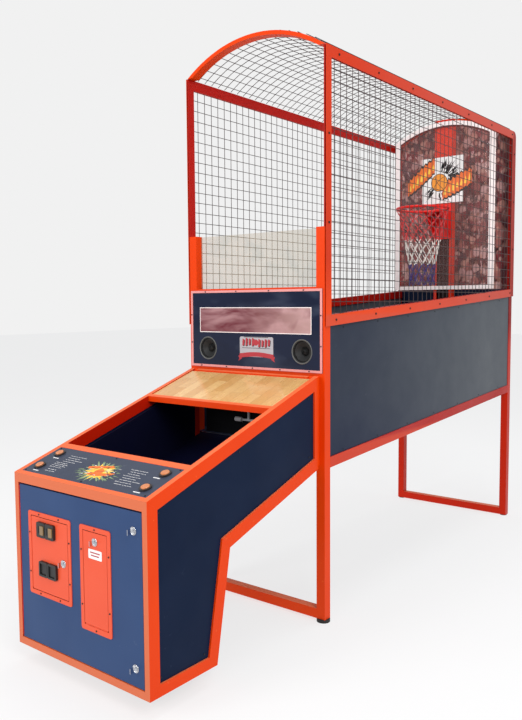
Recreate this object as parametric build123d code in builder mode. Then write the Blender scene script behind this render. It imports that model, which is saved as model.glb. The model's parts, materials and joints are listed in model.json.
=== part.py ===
from build123d import *
import math
import os

# A basketball hoop arcade machine: a front cabinet with the coin door, control panel, ball well and
# maple deck, and behind it a wire cage on two leg frames that holds the backboard, hoop and net.
# Millimetres. +X is right seen from the front, +Y is towards the rear, +Z is up. The origin lies on
# the floor under the middle of the machine's bounding box.

os.makedirs("parts", exist_ok=True)

# ---------------------------------------------------------------- overall sizes
cabinet_half = 390.0  # half the cabinet's width
post_outer = 410.0  # outer side face of the main posts
post = 45.0  # square tube of the leg frames
machine_depth = 3315.0  # front face to the rear face of the cage
key_reach = 26.0  # keys stand this far in front of the front face
bolt_head = 3.0
rear_proud = bolt_head
gap = 0.1  # weld and joint gap between neighbouring solids
clearance = 0.4  # gap between pieces that move apart
front = -(machine_depth + rear_proud - key_reach) / 2

# ---------------------------------------------------------------- cabinet side view
base_height = 75.0  # underside of the cabinet above the floor
base_depth = 351.0
knee_y, knee_z = 432.0, 516.0
cabinet_depth = 1040.0
belly_z = 718.0  # rear end of the sloping underside
front_top_z = 787.0
slope = math.radians(18.48)  # of the control panel, deck and top rails
tube = 25.0
front_stile = 50.0
bottom_rail = 45.0
rear_leg_member = 52.0
belly_member = 56.0
rear_upright = 30.0
top_member = 52.0

# ---------------------------------------------------------------- cage
post_front = 1059.0  # front face of the front posts
bar = 50.0  # width of the flat bars and clamp strips
front_bar = 41.0  # the front uprights and their strips are narrower
flat = 4.0  # thickness of the flat bars
front_foot = 15.0
rear_foot = 5.0
post_top = 1797.0
spring_z = 2577.0  # where the roof arch springs
arch_rise = 130.0
arch_flat = 18.0  # thickness of the arches' bars
rail_corner = 38.0  # rounding of the top rails' rear ends
rail_slope = math.radians(3.55)  # of the middle and bottom rails, up to the rear
middle_top_z = 1405.0  # top edge of the middle rail at the front posts
bottom_low_z = 712.0  # lower edge of the bottom rail at the front posts
rail_height = 49.0
wire_radius = 1.6
wire_pitch = 50.8
first_upright_wire = 1133.0
first_level_wire = 1415.6
strip = 3.0
mesh_inner = post_outer + gap
strip_inner = mesh_inner + 4 * wire_radius + 2 * gap
strip_outer = strip_inner + strip
arch_radius = (post_outer**2 + arch_rise**2) / (2 * arch_rise)
arch_centre_z = spring_z + arch_rise - arch_radius
arch_half_angle = math.degrees(math.asin(post_outer / arch_radius))
rear_frame = machine_depth - post  # front face of the rear legs
rear_bar = machine_depth - bar
roof_end = machine_depth - rail_corner  # rear face of the rear arch


def at(distance):
    """The Y coordinate of a distance behind the cabinet's front face."""
    return front + distance


def top_line(distance):
    """Height of the cabinet's sloping top at a distance behind the front face."""
    return front_top_z + distance * math.tan(slope)


def rail_line(front_z, distance):
    """Height at a distance of a line that climbs with the cage rails from front_z at the front posts."""
    return front_z + (distance - post_front) * math.tan(rail_slope)


def inset(corners, widths):
    """Inner corners of a closed frame whose side from corner i to corner i + 1 is widths[i] wide."""
    lines = []
    for i, width in enumerate(widths):
        start, end = Vector(*corners[i]), Vector(*corners[(i + 1) % len(corners)])
        along = (end - start).normalized()
        inward = Vector(-along.Y, along.X)
        lines.append((start + inward * width, along))
    inner = []
    for i, (point, along) in enumerate(lines):
        before, before_along = lines[i - 1]
        cross = before_along.X * along.Y - before_along.Y * along.X
        offset_ = point - before
        reach = (offset_.X * along.Y - offset_.Y * along.X) / cross
        met = before + before_along * reach
        inner.append((met.X, met.Y))
    return inner


def slab(x, y, z, mode=Mode.ADD):
    """A box between pairs of limits; y is measured from the cabinet's front face."""
    with BuildSketch(Plane.XY.offset(z[0])) as outline:
        with Locations(((x[0] + x[1]) / 2, at((y[0] + y[1]) / 2))):
            Rectangle(x[1] - x[0], y[1] - y[0])
    extrude(to_extrude=outline.sketch, amount=z[1] - z[0], mode=mode)


def side_plate(points, x, mode=Mode.ADD):
    """A flat polygon in the side view, points as (distance, height), between two X limits."""
    with BuildSketch(Plane.YZ.offset(x[0])) as outline:
        with BuildLine():
            Polyline(*[(at(distance), height) for distance, height in points], close=True)
        make_face()
    extrude(to_extrude=outline.sketch, amount=x[1] - x[0], mode=mode)


def both_sides(x):
    """An X interval on the right side and its mirror on the left."""
    return ((x[0], x[1]), (-x[1], -x[0]))


def round_bar(centre, radius, reach, direction, mode=Mode.ADD, bore=0.0):
    """A round bar or tube from a centre (x, distance, z) along a direction."""
    origin = (centre[0], at(centre[1]), centre[2])
    with BuildSketch(Plane(origin=origin, z_dir=direction)) as outline:
        Circle(radius)
        if bore:
            Circle(bore, mode=Mode.SUBTRACT)
    extrude(to_extrude=outline.sketch, amount=reach, mode=mode)


def rounded_plate(x, z, y, corner, mode=Mode.ADD):
    """An upright plate seen from the front, with rounded corners, from y[0] back to y[1]."""
    with BuildSketch(Plane.XZ.offset(-at(y[1]))) as outline:
        with Locations(((x[0] + x[1]) / 2, (z[0] + z[1]) / 2)):
            RectangleRounded(x[1] - x[0], z[1] - z[0], corner)
    extrude(to_extrude=outline.sketch, amount=y[1] - y[0], mode=mode)


def save(builder, name):
    """Labels a finished piece and writes it as its own file."""
    builder.part.label = name
    export_step(builder.part, f"parts/{name}.step")


# ---------------------------------------------------------------- cabinet frame
side_corners = [
    (0.0, base_height),
    (base_depth, base_height),
    (knee_y, knee_z),
    (cabinet_depth, belly_z),
    (cabinet_depth, top_line(cabinet_depth)),
    (0.0, front_top_z),
]
side_widths = [bottom_rail, rear_leg_member, belly_member, rear_upright, top_member, front_stile]
side_inner = inset(side_corners, side_widths)
inner_half = cabinet_half - tube  # inner face of the side frames
rear_upright_inner = cabinet_half - 2 * tube
panel_start, panel_end = 20.0, 213.0  # control panel, measured level
well_start = 245.0
deck_rail = (716.0, 736.0)
deck_end = 1024.0
front_rail_drop = 38.0
cross_depth = 24.0
rear_cross_depth = 30.0


def level_rail(start, end, depth):
    """A cross rail under the sloping top, between two distances."""
    face = [(start, top_line(start)), (end, top_line(end))]
    drop = depth / math.cos(slope)
    return [(end, top_line(end) - drop), face[1], face[0], (start, top_line(start) - drop)]


with BuildPart() as cabinet_frame:
    for i in range(len(side_corners)):
        j = (i + 1) % len(side_corners)
        along = (Vector(*side_corners[j]) - Vector(*side_corners[i])).normalized() * gap
        member = [
            (side_corners[i][0] + along.X, side_corners[i][1] + along.Y),
            (side_corners[j][0] - along.X, side_corners[j][1] - along.Y),
            (side_inner[j][0] - along.X, side_inner[j][1] - along.Y),
            (side_inner[i][0] + along.X, side_inner[i][1] + along.Y),
        ]
        wide = 2 * tube if side_widths[i] == rear_upright else tube
        for x in both_sides((cabinet_half - wide, cabinet_half)):
            side_plate(member, x)
    across = (-inner_half + gap, inner_half - gap)
    side_plate(
        [
            (0.0, front_top_z - front_rail_drop),
            (panel_start - gap, front_top_z - front_rail_drop),
            (panel_start - gap, top_line(panel_start - gap)),
            (0.0, front_top_z),
        ],
        across,
    )
    slab(across, (0.0, 40.0), (base_height, base_height + 30.0))
    slab(across, (base_depth - 50.0, base_depth - 20.0), (base_height, base_height + 30.0))
    side_plate(level_rail(panel_end + gap, well_start, 40.0), across)
    side_plate(level_rail(*deck_rail, cross_depth), across)
    rear_low = belly_z - 2 * tube * math.tan(slope)
    behind_upright = (-rear_upright_inner + gap, rear_upright_inner - gap)
    side_plate(level_rail(deck_end + gap, cabinet_depth, rear_cross_depth), behind_upright)
    slab(behind_upright, (cabinet_depth - rear_upright, cabinet_depth), (rear_low + 25, rear_low + 55))
save(cabinet_frame, "cabinet_frame")

# ---------------------------------------------------------------- cabinet skins
skin_back = 8.0  # side panels sit this far inside the frame's outer face
skin = 10.0
for side, sign in (("left", -1), ("right", 1)):
    x = sorted((sign * (cabinet_half - skin_back - skin), sign * (cabinet_half - skin_back)))
    outline = inset(side_inner, [gap] * len(side_inner))
    with BuildPart() as cabinet_side_panel:
        side_plate(outline, x)
    save(cabinet_side_panel, f"cabinet_side_panel_{side}")

with BuildPart() as base_floor:
    slab(across, (front_stile + 2, base_depth - 51.0), (base_height + 18, base_height + 30))
save(base_floor, "base_floor")

sheet = 3.0
back_outer = inset(side_corners, [4.0] * 6)
back_inner = inset(side_corners, [4.0 + sheet] * 6)
with BuildPart() as back_skin:
    side_plate(
        [
            (back_outer[1][0] + 7, base_height + 40),
            back_outer[2],
            (cabinet_depth - rear_upright - 2, back_outer[3][1] - 10.5),
            (cabinet_depth - rear_upright - 2, back_inner[3][1] - 9.5),
            back_inner[2],
            (back_inner[1][0] + 7, base_height + 40),
        ],
        across,
    )
    slab((-238.0, -182.0), (base_depth - 60, base_depth + 60), (226.0, 266.0), Mode.SUBTRACT)
save(back_skin, "back_skin")

# ---------------------------------------------------------------- feet
with BuildPart() as levelling_feet:
    cabinet_feet = [(x, y) for x in (-255.0, 255.0) for y in (150.0, 262.0)]
    for x, y in cabinet_feet:
        round_bar((x, y, 0), 20.0, 10.0, (0, 0, 1))
        round_bar((x, y, 10.0), 14.0, 6.0, (0, 0, 1))
        round_bar((x, y, 16.0), 6.0, base_height + 18 - 16.0 - gap, (0, 0, 1))
    for x in (-post_outer + post / 2, post_outer - post / 2):
        round_bar((x, post_front + post / 2, 0), 31.0, front_foot - gap, (0, 0, 1))
        round_bar((x, machine_depth - post / 2, 0), 22.0, rear_foot - gap, (0, 0, 1))
save(levelling_feet, "levelling_feet")

# ---------------------------------------------------------------- control panel and its buttons
slope_plane = Plane(
    origin=(0, front, front_top_z), x_dir=(1, 0, 0), z_dir=(0, -math.sin(slope), math.cos(slope))
)
panel_thick = 4.0
button_x = 312.0
button_rows = (69.0, 167.0)
button_spots = [
    (x, y / math.cos(slope)) for x in (-button_x, button_x) for y in button_rows
]
bezel_radius, bezel_rise = 24.0, 6.0
cap_radius, cap_rise = 17.0, 10.0
cap_travel = 3.0
stem_radius = 5.6
body_radius = 13.5


def disc(plane, spot, radius, low, high, bore=0.0, mode=Mode.ADD):
    """A disc or ring on a plane, between two heights above it."""
    with BuildSketch(plane.offset(low)) as outline:
        with Locations(spot):
            Circle(radius)
            if bore:
                Circle(bore, mode=Mode.SUBTRACT)
    extrude(to_extrude=outline.sketch, amount=high - low, mode=mode)


with BuildPart() as control_panel:
    with BuildSketch(slope_plane.offset(-panel_thick)):
        panel_reach = panel_end - panel_thick * math.sin(slope)
        with Locations((0, (panel_reach + panel_start) / 2 / math.cos(slope))):
            Rectangle(2 * (inner_half - gap), (panel_reach - panel_start) / math.cos(slope))
        with Locations(*button_spots):
            Circle(body_radius + gap, mode=Mode.SUBTRACT)
    extrude(amount=panel_thick)
save(control_panel, "control_panel")

with BuildPart() as button_bezels:
    for spot in button_spots:
        disc(slope_plane, spot, bezel_radius, gap, 1.4, stem_radius + clearance)
        disc(slope_plane, spot, bezel_radius, 1.4, bezel_rise, cap_radius + clearance)
        disc(slope_plane, spot, body_radius, -35.0, gap, stem_radius + clearance)
save(button_bezels, "button_bezels")

for number, spot in enumerate(button_spots, start=1):
    with BuildPart() as player_button:
        disc(slope_plane, spot, cap_radius, 1.4 + cap_travel + clearance, cap_rise)
        disc(slope_plane, spot, stem_radius, -22.0, 1.4 + cap_travel + clearance)
        rim_edges = player_button.edges().filter_by(GeomType.CIRCLE).sort_by(slope_plane.location.z_axis)
        fillet(rim_edges[-1], 2.5)
    save(player_button, f"player_button_{number}")

# ---------------------------------------------------------------- ball well, deck and gate
well_floor_z = 806.0  # top of the well's floor at the cabinet's rear face
liner = 6.0
floor_sheet = 8.0
floor_end = post_front - 1.0


def well_line(distance):
    """Height of the ball well's floor."""
    return well_floor_z + (distance - cabinet_depth) * math.tan(slope)


with BuildPart() as ball_well:
    floor_start = well_start - 10.0
    side_plate(
        [
            (floor_start, well_line(floor_start) - floor_sheet),
            (floor_end, well_line(floor_end) - floor_sheet),
            (floor_end, well_line(floor_end)),
            (floor_start, well_line(floor_start)),
        ],
        (-rear_upright_inner + gap, rear_upright_inner - gap),
    )
    wall_end = cabinet_depth - rear_upright - 2
    wall_x = (rear_upright_inner + gap, rear_upright_inner + gap + liner)
    under_rail = top_member / math.cos(slope) + 1.0
    for x in both_sides(wall_x):
        side_plate(
            [
                (floor_start, well_line(floor_start) - floor_sheet),
                (wall_end, well_line(wall_end) - floor_sheet),
                (wall_end, top_line(wall_end) - under_rail),
                (floor_start, top_line(floor_start) - under_rail),
            ],
            x,
        )
    front_wall_top = top_line(panel_end) - 40.0 / math.cos(slope) - 2
    slab(
        (-rear_upright_inner + gap, rear_upright_inner - gap),
        (well_start - 10.0, well_start - 2.0),
        (well_line(well_start) + gap, front_wall_top),
    )
save(ball_well, "ball_well")

deck_thick = 18.0
deck_drop = 4.0
with BuildPart() as maple_deck:
    with BuildSketch(slope_plane.offset(-deck_drop - deck_thick)):
        start, end = (deck_rail[1] + 2 * gap) / math.cos(slope), (deck_end - 8.0) / math.cos(slope)
        with Locations((0, (start + end) / 2)):
            Rectangle(2 * (inner_half - gap), end - start)
    extrude(amount=deck_thick)
save(maple_deck, "maple_deck")

gate_y, gate_z = 1034.0, 1055.0
gate_half = 292.0
gate_low = 824.0
hanger_top = top_line(deck_end) - rear_cross_depth / math.cos(slope) - gap
catch_z = 906.0
shaft_radius = 6.0
shaft_fit = 0.06
with BuildPart() as ball_gate:
    round_bar((-gate_half - 18, gate_y, gate_z), shaft_radius, 2 * (gate_half + 18), (1, 0, 0))
    slab((-gate_half + 8, gate_half - 8), (gate_y - 2, gate_y + 2), (gate_low, gate_z))
save(ball_gate, "ball_gate")

with BuildPart() as gate_solenoid:
    for x in both_sides((gate_half + 4, gate_half + 8)):
        slab(x, (gate_y - 24, gate_y + 24), (gate_z - 24, hanger_top))
        round_bar((x[0] - 1, gate_y, gate_z), shaft_radius + shaft_fit, 6.0, (1, 0, 0), Mode.SUBTRACT)
    slab((gate_half + 20, gate_half + 40), (gate_y - 54, gate_y - 22), (gate_z - 16, gate_z + 28))
    slab((gate_half - 34, gate_half + 2), (gate_y - 54, gate_y - 30), (gate_z - 8, gate_z + 14))
    slab((-6.0, 6.0), (gate_y - 15, gate_y - 8), (catch_z - 5, hanger_top))
    slab((-40.0, 36.0), (gate_y - 19, gate_y - 14), (catch_z - 5, catch_z + 5))
    round_bar((-76.0, gate_y - 18, catch_z), 11.0, 40.0, (1, 0, 0))
save(gate_solenoid, "gate_solenoid")

# ---------------------------------------------------------------- service door
door_x = (-359.0, 361.0)
door_z = (base_height + 34.0, front_top_z - front_rail_drop - 7.0)
door_front, door_back = 2.0, 20.0
coin_frame_x, coin_frame_z = (-301.0, -34.0), (310.0, 646.0)
coin_open_x, coin_open_z = (-284.0, -50.0), (327.0, 629.0)
cash_frame_x, cash_frame_z = (22.0, 196.0), (247.0, 647.0)
cash_open_x, cash_open_z = (40.0, 178.0), (268.0, 629.0)
frame_front = -1.5
lock_radius = 9.5
door_lock_x = 318.0
door_lock_z = (673.0, 176.0)
cut_margin = 4.0

with BuildPart() as service_door:
    rounded_plate(door_x, door_z, (door_front, door_back), 1.0)
    for x, z in ((coin_open_x, coin_open_z), (cash_open_x, cash_open_z)):
        slab(
            (x[0] - cut_margin, x[1] + cut_margin),
            (door_front - 1, door_back + 1),
            (z[0] - cut_margin, z[1] + cut_margin),
            Mode.SUBTRACT,
        )
    for z in door_lock_z:
        round_bar((door_lock_x, door_front - 1, z), lock_radius + clearance, 24.0, (0, 1, 0), Mode.SUBTRACT)
save(service_door, "service_door")

pin_radius = 1.0
pin_fit = 0.05
knuckle_gap = clearance


def knuckles(plane, length, count, parity, radius, with_pin):
    """Every second knuckle of a long hinge, its line along the plane's Z axis, with or without the pin."""
    pitch = length / count
    bore = 0.0 if with_pin else pin_radius + pin_fit
    for k in range(parity, count, 2):
        disc(plane, (0, 0), radius, k * pitch + knuckle_gap, (k + 1) * pitch - knuckle_gap, bore)
    if with_pin:
        disc(plane, (0, 0), pin_radius, 0.0, length)


hinge_x, hinge_y = -362.0, 1.6
hinge_radius = 2.4
hinge_low, hinge_high = door_z[0] + 6, door_z[1] - 6
hinge_count = 9
hinge_plane = Plane(origin=(hinge_x, at(hinge_y), hinge_low), x_dir=(1, 0, 0), z_dir=(0, 0, 1))


def hinge_tabs(x, parity):
    """Tabs that join one of the service door's hinge leaves to its own knuckles."""
    pitch = (hinge_high - hinge_low) / hinge_count
    for k in range(parity, hinge_count, 2):
        low = hinge_low + k * pitch + knuckle_gap
        slab(x, (hinge_y, hinge_y + 3), (low, low + pitch - 2 * knuckle_gap))


leaf_reach = 22.0
with BuildPart() as hinge_frame_leaf:
    knuckles(hinge_plane, hinge_high - hinge_low, hinge_count, 0, hinge_radius, True)
    slab((-inner_half + gap, -inner_half + 0.9), (hinge_y + 3, leaf_reach), (hinge_low, hinge_high))
    hinge_tabs((-inner_half + gap, -inner_half + 0.9), 0)
save(hinge_frame_leaf, "hinge_frame_leaf")

with BuildPart() as hinge_door_leaf:
    knuckles(hinge_plane, hinge_high - hinge_low, hinge_count, 1, hinge_radius, False)
    slab((door_x[0] - 0.9, door_x[0] - gap), (hinge_y + 3, door_back), (hinge_low, hinge_high))
    hinge_tabs((door_x[0] - 0.9, door_x[0] - gap), 1)
save(hinge_door_leaf, "hinge_door_leaf")


def cam_lock(x, z, face, length, cam_reach, cam_direction):
    """A cam lock with its key: face plate, barrel, cam behind and key bow in front."""
    round_bar((x, face - 3.0, z), 12.5, 3.0 - clearance, (0, 1, 0))
    round_bar((x, face - clearance, z), lock_radius, length, (0, 1, 0))
    round_bar((x, face - 5.5, z), 7.0, 2.6, (0, 1, 0))
    cam_y = (face - clearance + length, face - clearance + length + 3.0)
    reach_x, reach_z = cam_direction
    slab(
        tuple(sorted((x - 8.0 * abs(reach_z) - 8.0 * reach_x, x + 8.0 * abs(reach_z) + cam_reach * reach_x))),
        cam_y,
        tuple(sorted((z - 8.0 * abs(reach_x) - 8.0 * reach_z, z + 8.0 * abs(reach_x) + cam_reach * reach_z))),
    )
    slab((x - 1.0, x + 1.0), (-9.0, face - 5.0), (z - 4.0, z + 4.0))
    slab((x - 1.0, x + 1.0), (-key_reach, -9.0), (z - 10.0, z + 10.0))


cam_behind_stile = 52.0
for name, z, turn in (("upper", door_lock_z[0], -1), ("lower", door_lock_z[1], 1)):
    with BuildPart() as door_lock:
        cam_lock(door_lock_x, z, door_front, cam_behind_stile - door_front, 52.0, (0, turn))
    save(door_lock, f"{name}_door_lock")

# ---------------------------------------------------------------- coin door
coin_front = -1.0
coin_back = 1.5
coin_door_x = (coin_open_x[0] + 5.8, coin_open_x[1] - 3.0)
coin_door_z = (coin_open_z[0] + 3.0, coin_open_z[1] - 3.0)
coin_hinge = (coin_open_x[0] + 3.4, 1.0)
coin_hinge_radius = 2.0
coin_hinge_length = coin_door_z[1] - coin_door_z[0] - 8.0
coin_hinge_low = coin_door_z[0] + 4.0
coin_hinge_plane = Plane(origin=(coin_hinge[0], at(coin_hinge[1]), coin_hinge_low), z_dir=(0, 0, 1))
coin_count = 7
frame_corner = 10.0

with BuildPart() as coin_door_frame:
    rounded_plate(coin_frame_x, coin_frame_z, (frame_front, door_front - gap), frame_corner)
    slab(coin_open_x, (frame_front - 1, door_front + 1), coin_open_z, Mode.SUBTRACT)
    pitch = coin_hinge_length / coin_count
    for k in range(0, coin_count, 2):
        low = coin_hinge_low + k * pitch + knuckle_gap
        slab(
            (coin_open_x[0] - 0.2, coin_hinge[0] - coin_hinge_radius / 2),
            (coin_hinge[1] - 0.6, coin_hinge[1] + 0.6),
            (low, low + pitch - 2 * knuckle_gap),
        )
    knuckles(coin_hinge_plane, coin_hinge_length, coin_count, 0, coin_hinge_radius, True)
save(coin_door_frame, "coin_door_frame")

unit_half_x, unit_half_z = 26.5, 30.0
coin_entries_x = (-208.0, -153.0)
coin_returns_x = (-198.5, -143.5)
entry_z, return_z = 581.0, 425.0
coin_lock_spot = (-80.0, 470.0)
reject_half_x, reject_half_z = 11.0, 18.0
reject_shift = 10.0  # the reject button sits right of the coin slot
cup_half_x, cup_half_z = 19.0, 22.0
flap_thick = 2.0
cutout_half_x, cutout_half_z = 22.5, 25.0  # behind each coin unit in the coin door

with BuildPart() as coin_door:
    slab(coin_door_x, (coin_front, coin_back), coin_door_z)
    for spots, z in ((coin_entries_x, entry_z), (coin_returns_x, return_z)):
        for x in spots:
            slab(
                (x - cutout_half_x, x + cutout_half_x),
                (coin_front - 1, coin_back + 1),
                (z - cutout_half_z, z + cutout_half_z),
                Mode.SUBTRACT,
            )
    lock_hole = (coin_lock_spot[0], coin_front - 1, coin_lock_spot[1])
    round_bar(lock_hole, lock_radius + clearance, 4.0, (0, 1, 0), Mode.SUBTRACT)
    for k in range(1, coin_count, 2):
        low = coin_hinge_low + k * pitch + knuckle_gap
        slab(
            (coin_hinge[0] + pin_radius + 0.6, coin_door_x[0] + 0.5),
            (coin_hinge[1] - 0.5, coin_hinge[1] + 0.5),
            (low, low + pitch - 2 * knuckle_gap),
        )
    knuckles(coin_hinge_plane, coin_hinge_length, coin_count, 1, coin_hinge_radius, False)
save(coin_door, "coin_door")

flap_pivot_z = return_z + cup_half_z - 3.0
flap_pivot_y = coin_front - 5.0
flap_pin = 1.5
unit_depth, unit_corner = 11.0, 6.0
with BuildPart() as coin_bezels:
    unit_y = (coin_front - unit_depth, coin_front - gap)
    entry_span = (entry_z - unit_half_z, entry_z + unit_half_z)
    return_span = (return_z - unit_half_z, return_z + unit_half_z)
    for x in coin_entries_x:
        rounded_plate((x - unit_half_x, x + unit_half_x), entry_span, unit_y, unit_corner)
        slab(
            (x + reject_shift - reject_half_x - clearance, x + reject_shift + reject_half_x + clearance),
            (coin_front - unit_depth - 1, coin_front + 1),
            (entry_z - reject_half_z - clearance, entry_z + reject_half_z + clearance),
            Mode.SUBTRACT,
        )
        slab(
            (x - 14.0, x - 10.5),
            (coin_front - unit_depth - 1, coin_front + 1),
            (entry_z - 14.0, entry_z + 14.0),
            Mode.SUBTRACT,
        )
    for x in coin_returns_x:
        rounded_plate((x - unit_half_x, x + unit_half_x), return_span, unit_y, unit_corner)
        slab(
            (x - cup_half_x, x + cup_half_x),
            (coin_front - unit_depth - 1, coin_front + 1),
            (return_z - cup_half_z, return_z + cup_half_z),
            Mode.SUBTRACT,
        )
        round_bar(
            (x - cup_half_x - 3.0, flap_pivot_y, flap_pivot_z),
            flap_pin + shaft_fit,
            2 * (cup_half_x + 3.0),
            (1, 0, 0),
            Mode.SUBTRACT,
        )
save(coin_bezels, "coin_bezels")

for side, x in zip(("left", "right"), coin_entries_x):
    with BuildPart() as coin_reject_button:
        rounded_plate(
            (x + reject_shift - reject_half_x, x + reject_shift + reject_half_x),
            (entry_z - reject_half_z, entry_z + reject_half_z),
            (coin_front - unit_depth - 3.5, coin_front + 6.0),
            3.0,
        )
    save(coin_reject_button, f"coin_reject_button_{side}")

for side, x in zip(("left", "right"), coin_returns_x):
    with BuildPart() as coin_flap:
        slab(
            (x - cup_half_x + clearance, x + cup_half_x - clearance),
            (flap_pivot_y - flap_thick / 2, flap_pivot_y + flap_thick / 2),
            (return_z - cup_half_z + clearance, flap_pivot_z),
        )
        round_bar(
            (x - cup_half_x - 2.5, flap_pivot_y, flap_pivot_z), flap_pin, 2 * (cup_half_x + 2.5), (1, 0, 0)
        )
    save(coin_flap, f"coin_flap_{side}")

cam_behind_door = 23.0
with BuildPart() as coin_lock:
    cam_lock(*coin_lock_spot, coin_front, cam_behind_door - coin_front, 50.0, (0, -1))
save(coin_lock, "coin_lock")

with BuildPart() as coin_mechs:
    mech_low, mech_top = entry_z - 70.0, entry_z + 34.0
    for x, drop_x in zip(coin_entries_x, coin_returns_x):
        slab((x - 26.0, x + 26.0), (coin_back + gap, 26.0), (mech_top - 7.0, mech_top))
        slab((x - 26.0, x + 26.0), (26.0 + gap, 78.0), (mech_low, mech_top))
        slab((drop_x - 16.0, drop_x + 16.0), (36.0, 62.0), (return_z - 26.0, mech_low - gap))
save(coin_mechs, "coin_mechs")

# ---------------------------------------------------------------- cash door
cash_door_x = (cash_open_x[0] + 2.5, cash_open_x[1] - 2.5)
cash_door_z = (cash_open_z[0] + 5.0, cash_open_z[1] - 3.0)
cash_hinge = (1.0, cash_open_z[0] + 2.6)
cash_hinge_length = cash_door_x[1] - cash_door_x[0] - 8.0
cash_hinge_plane = Plane(origin=(cash_door_x[0] + 4.0, at(cash_hinge[0]), cash_hinge[1]), z_dir=(1, 0, 0))
cash_count = 5
cash_pitch = cash_hinge_length / cash_count
cash_lock_spot = (109.0, 592.0)

with BuildPart() as cash_door_frame:
    rounded_plate(cash_frame_x, cash_frame_z, (frame_front, door_front - gap), frame_corner)
    slab(cash_open_x, (frame_front - 1, door_front + 1), cash_open_z, Mode.SUBTRACT)
    for k in range(0, cash_count, 2):
        low = cash_door_x[0] + 4.0 + k * cash_pitch + knuckle_gap
        slab(
            (low, low + cash_pitch - 2 * knuckle_gap),
            (cash_hinge[0] - 0.6, cash_hinge[0] + 0.6),
            (cash_open_z[0] - 0.2, cash_hinge[1] - coin_hinge_radius / 2),
        )
    knuckles(cash_hinge_plane, cash_hinge_length, cash_count, 0, coin_hinge_radius, True)
save(cash_door_frame, "cash_door_frame")

with BuildPart() as cash_door:
    slab(cash_door_x, (coin_front, coin_back), cash_door_z)
    lock_hole = (cash_lock_spot[0], coin_front - 1, cash_lock_spot[1])
    round_bar(lock_hole, lock_radius + clearance, 4.0, (0, 1, 0), Mode.SUBTRACT)
    for k in range(1, cash_count, 2):
        low = cash_door_x[0] + 4.0 + k * cash_pitch + knuckle_gap
        slab(
            (low, low + cash_pitch - 2 * knuckle_gap),
            (cash_hinge[0] - 0.5, cash_hinge[0] + 0.5),
            (cash_hinge[1] + pin_radius + 0.6, cash_door_z[0] + 0.5),
        )
    knuckles(cash_hinge_plane, cash_hinge_length, cash_count, 1, coin_hinge_radius, False)
save(cash_door, "cash_door")

with BuildPart() as cash_lock:
    cam_lock(*cash_lock_spot, coin_front, cam_behind_door - coin_front, 50.0, (1, 0))
save(cash_lock, "cash_lock")

with BuildPart() as cash_box:
    box_x, box_y, box_z = (20.0, 200.0), (96.0, 286.0), (105.0 + gap, 255.0)
    wall = 2.0
    slab(box_x, box_y, box_z)
    slab(
        (box_x[0] + wall, box_x[1] - wall),
        (box_y[0] + wall, box_y[1] - wall),
        (box_z[0] + wall, box_z[1] + 1),
        Mode.SUBTRACT,
    )
save(cash_box, "cash_box")

# ---------------------------------------------------------------- screws
screw_radius, screw_rise = 3.2, 1.8


def screw_row(start, end, count):
    """Evenly spaced screw positions from start to end."""
    return [
        tuple(a + (b - a) * k / (count - 1) for a, b in zip(start, end))
        for k in range(count)
    ]


def frame_screws(x, z, inset_, across_count, up_count):
    """Screws round the margin of a front frame."""
    left, right = x[0] + inset_, x[1] - inset_
    low, high = z[0] + inset_, z[1] - inset_
    spots = []
    for level in (low, high):
        quarter = (right - left) / 4
        spots += screw_row((left + quarter, level), (right - quarter, level), across_count)
    for edge in (left, right):
        quarter = (high - low) / 4
        spots += screw_row((edge, low + quarter), (edge, high - quarter), up_count)
    return spots


with BuildPart() as door_screws:
    spots = frame_screws(coin_frame_x, coin_frame_z, 8.5, 2, 2)
    middle = (cash_frame_x[0] + cash_frame_x[1]) / 2
    spots += [(middle, cash_frame_z[0] + 9.0), (middle, cash_frame_z[1] - 9.0)]
    for x in (cash_frame_x[0] + 9.0, cash_frame_x[1] - 9.0):
        spots += [(x, cash_frame_z[0] + 95.0), (x, cash_frame_z[1] - 95.0)]
    for x, z in spots:
        round_bar((x, frame_front - gap, z), screw_radius, screw_rise, (0, -1, 0))
save(door_screws, "door_screws")

display_half = 400.0
display_z = (1147.0, 1525.0)
bezel_width = 11.0
lower_panel_x = (398.0, 406.0)
with BuildPart() as small_screws:
    for x in (-352.0, 0.0, 352.0):
        for y in (panel_start + 9.0, panel_end - 9.0):
            disc(slope_plane, (x, y / math.cos(slope)), screw_radius, gap, screw_rise)
    side_spots = [(62.0, 734.0), (970.0, 1040.0), (500.0, 880.0)]
    side_spots += [(975.0, 780.0), (62.0, 140.0), (285.0, 140.0)]
    for y, z in side_spots:
        round_bar((cabinet_half - skin_back + gap, y, z), screw_radius, screw_rise, (1, 0, 0))
        round_bar((-cabinet_half + skin_back - gap, y, z), screw_radius, screw_rise, (-1, 0, 0))
    edge = bezel_width / 2
    bezel_front = post_front - 6.0 - gap
    rows = screw_row((-300.0, display_z[1] - edge), (300.0, display_z[1] - edge), 4)
    rows += screw_row((-330.0, display_z[0] + edge), (330.0, display_z[0] + edge), 5)
    for x in (-display_half + edge, display_half - edge):
        rows += [(x, display_z[0] + 120.0), (x, display_z[1] - 120.0)]
    for x, z in rows:
        round_bar((x, bezel_front, z), screw_radius, screw_rise, (0, -1, 0))
    for y in screw_row((1220.0,), (3104.0,), 7):
        heights = (
            rail_line(middle_top_z - rail_height, y[0]) - 16.0,
            rail_line(bottom_low_z + rail_height, y[0]) + 12.0,
        )
        for z in heights:
            round_bar((lower_panel_x[1] + gap, y[0], z), screw_radius, screw_rise, (1, 0, 0))
            round_bar((-lower_panel_x[1] - gap, y[0], z), screw_radius, screw_rise, (-1, 0, 0))
save(small_screws, "small_screws")

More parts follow.
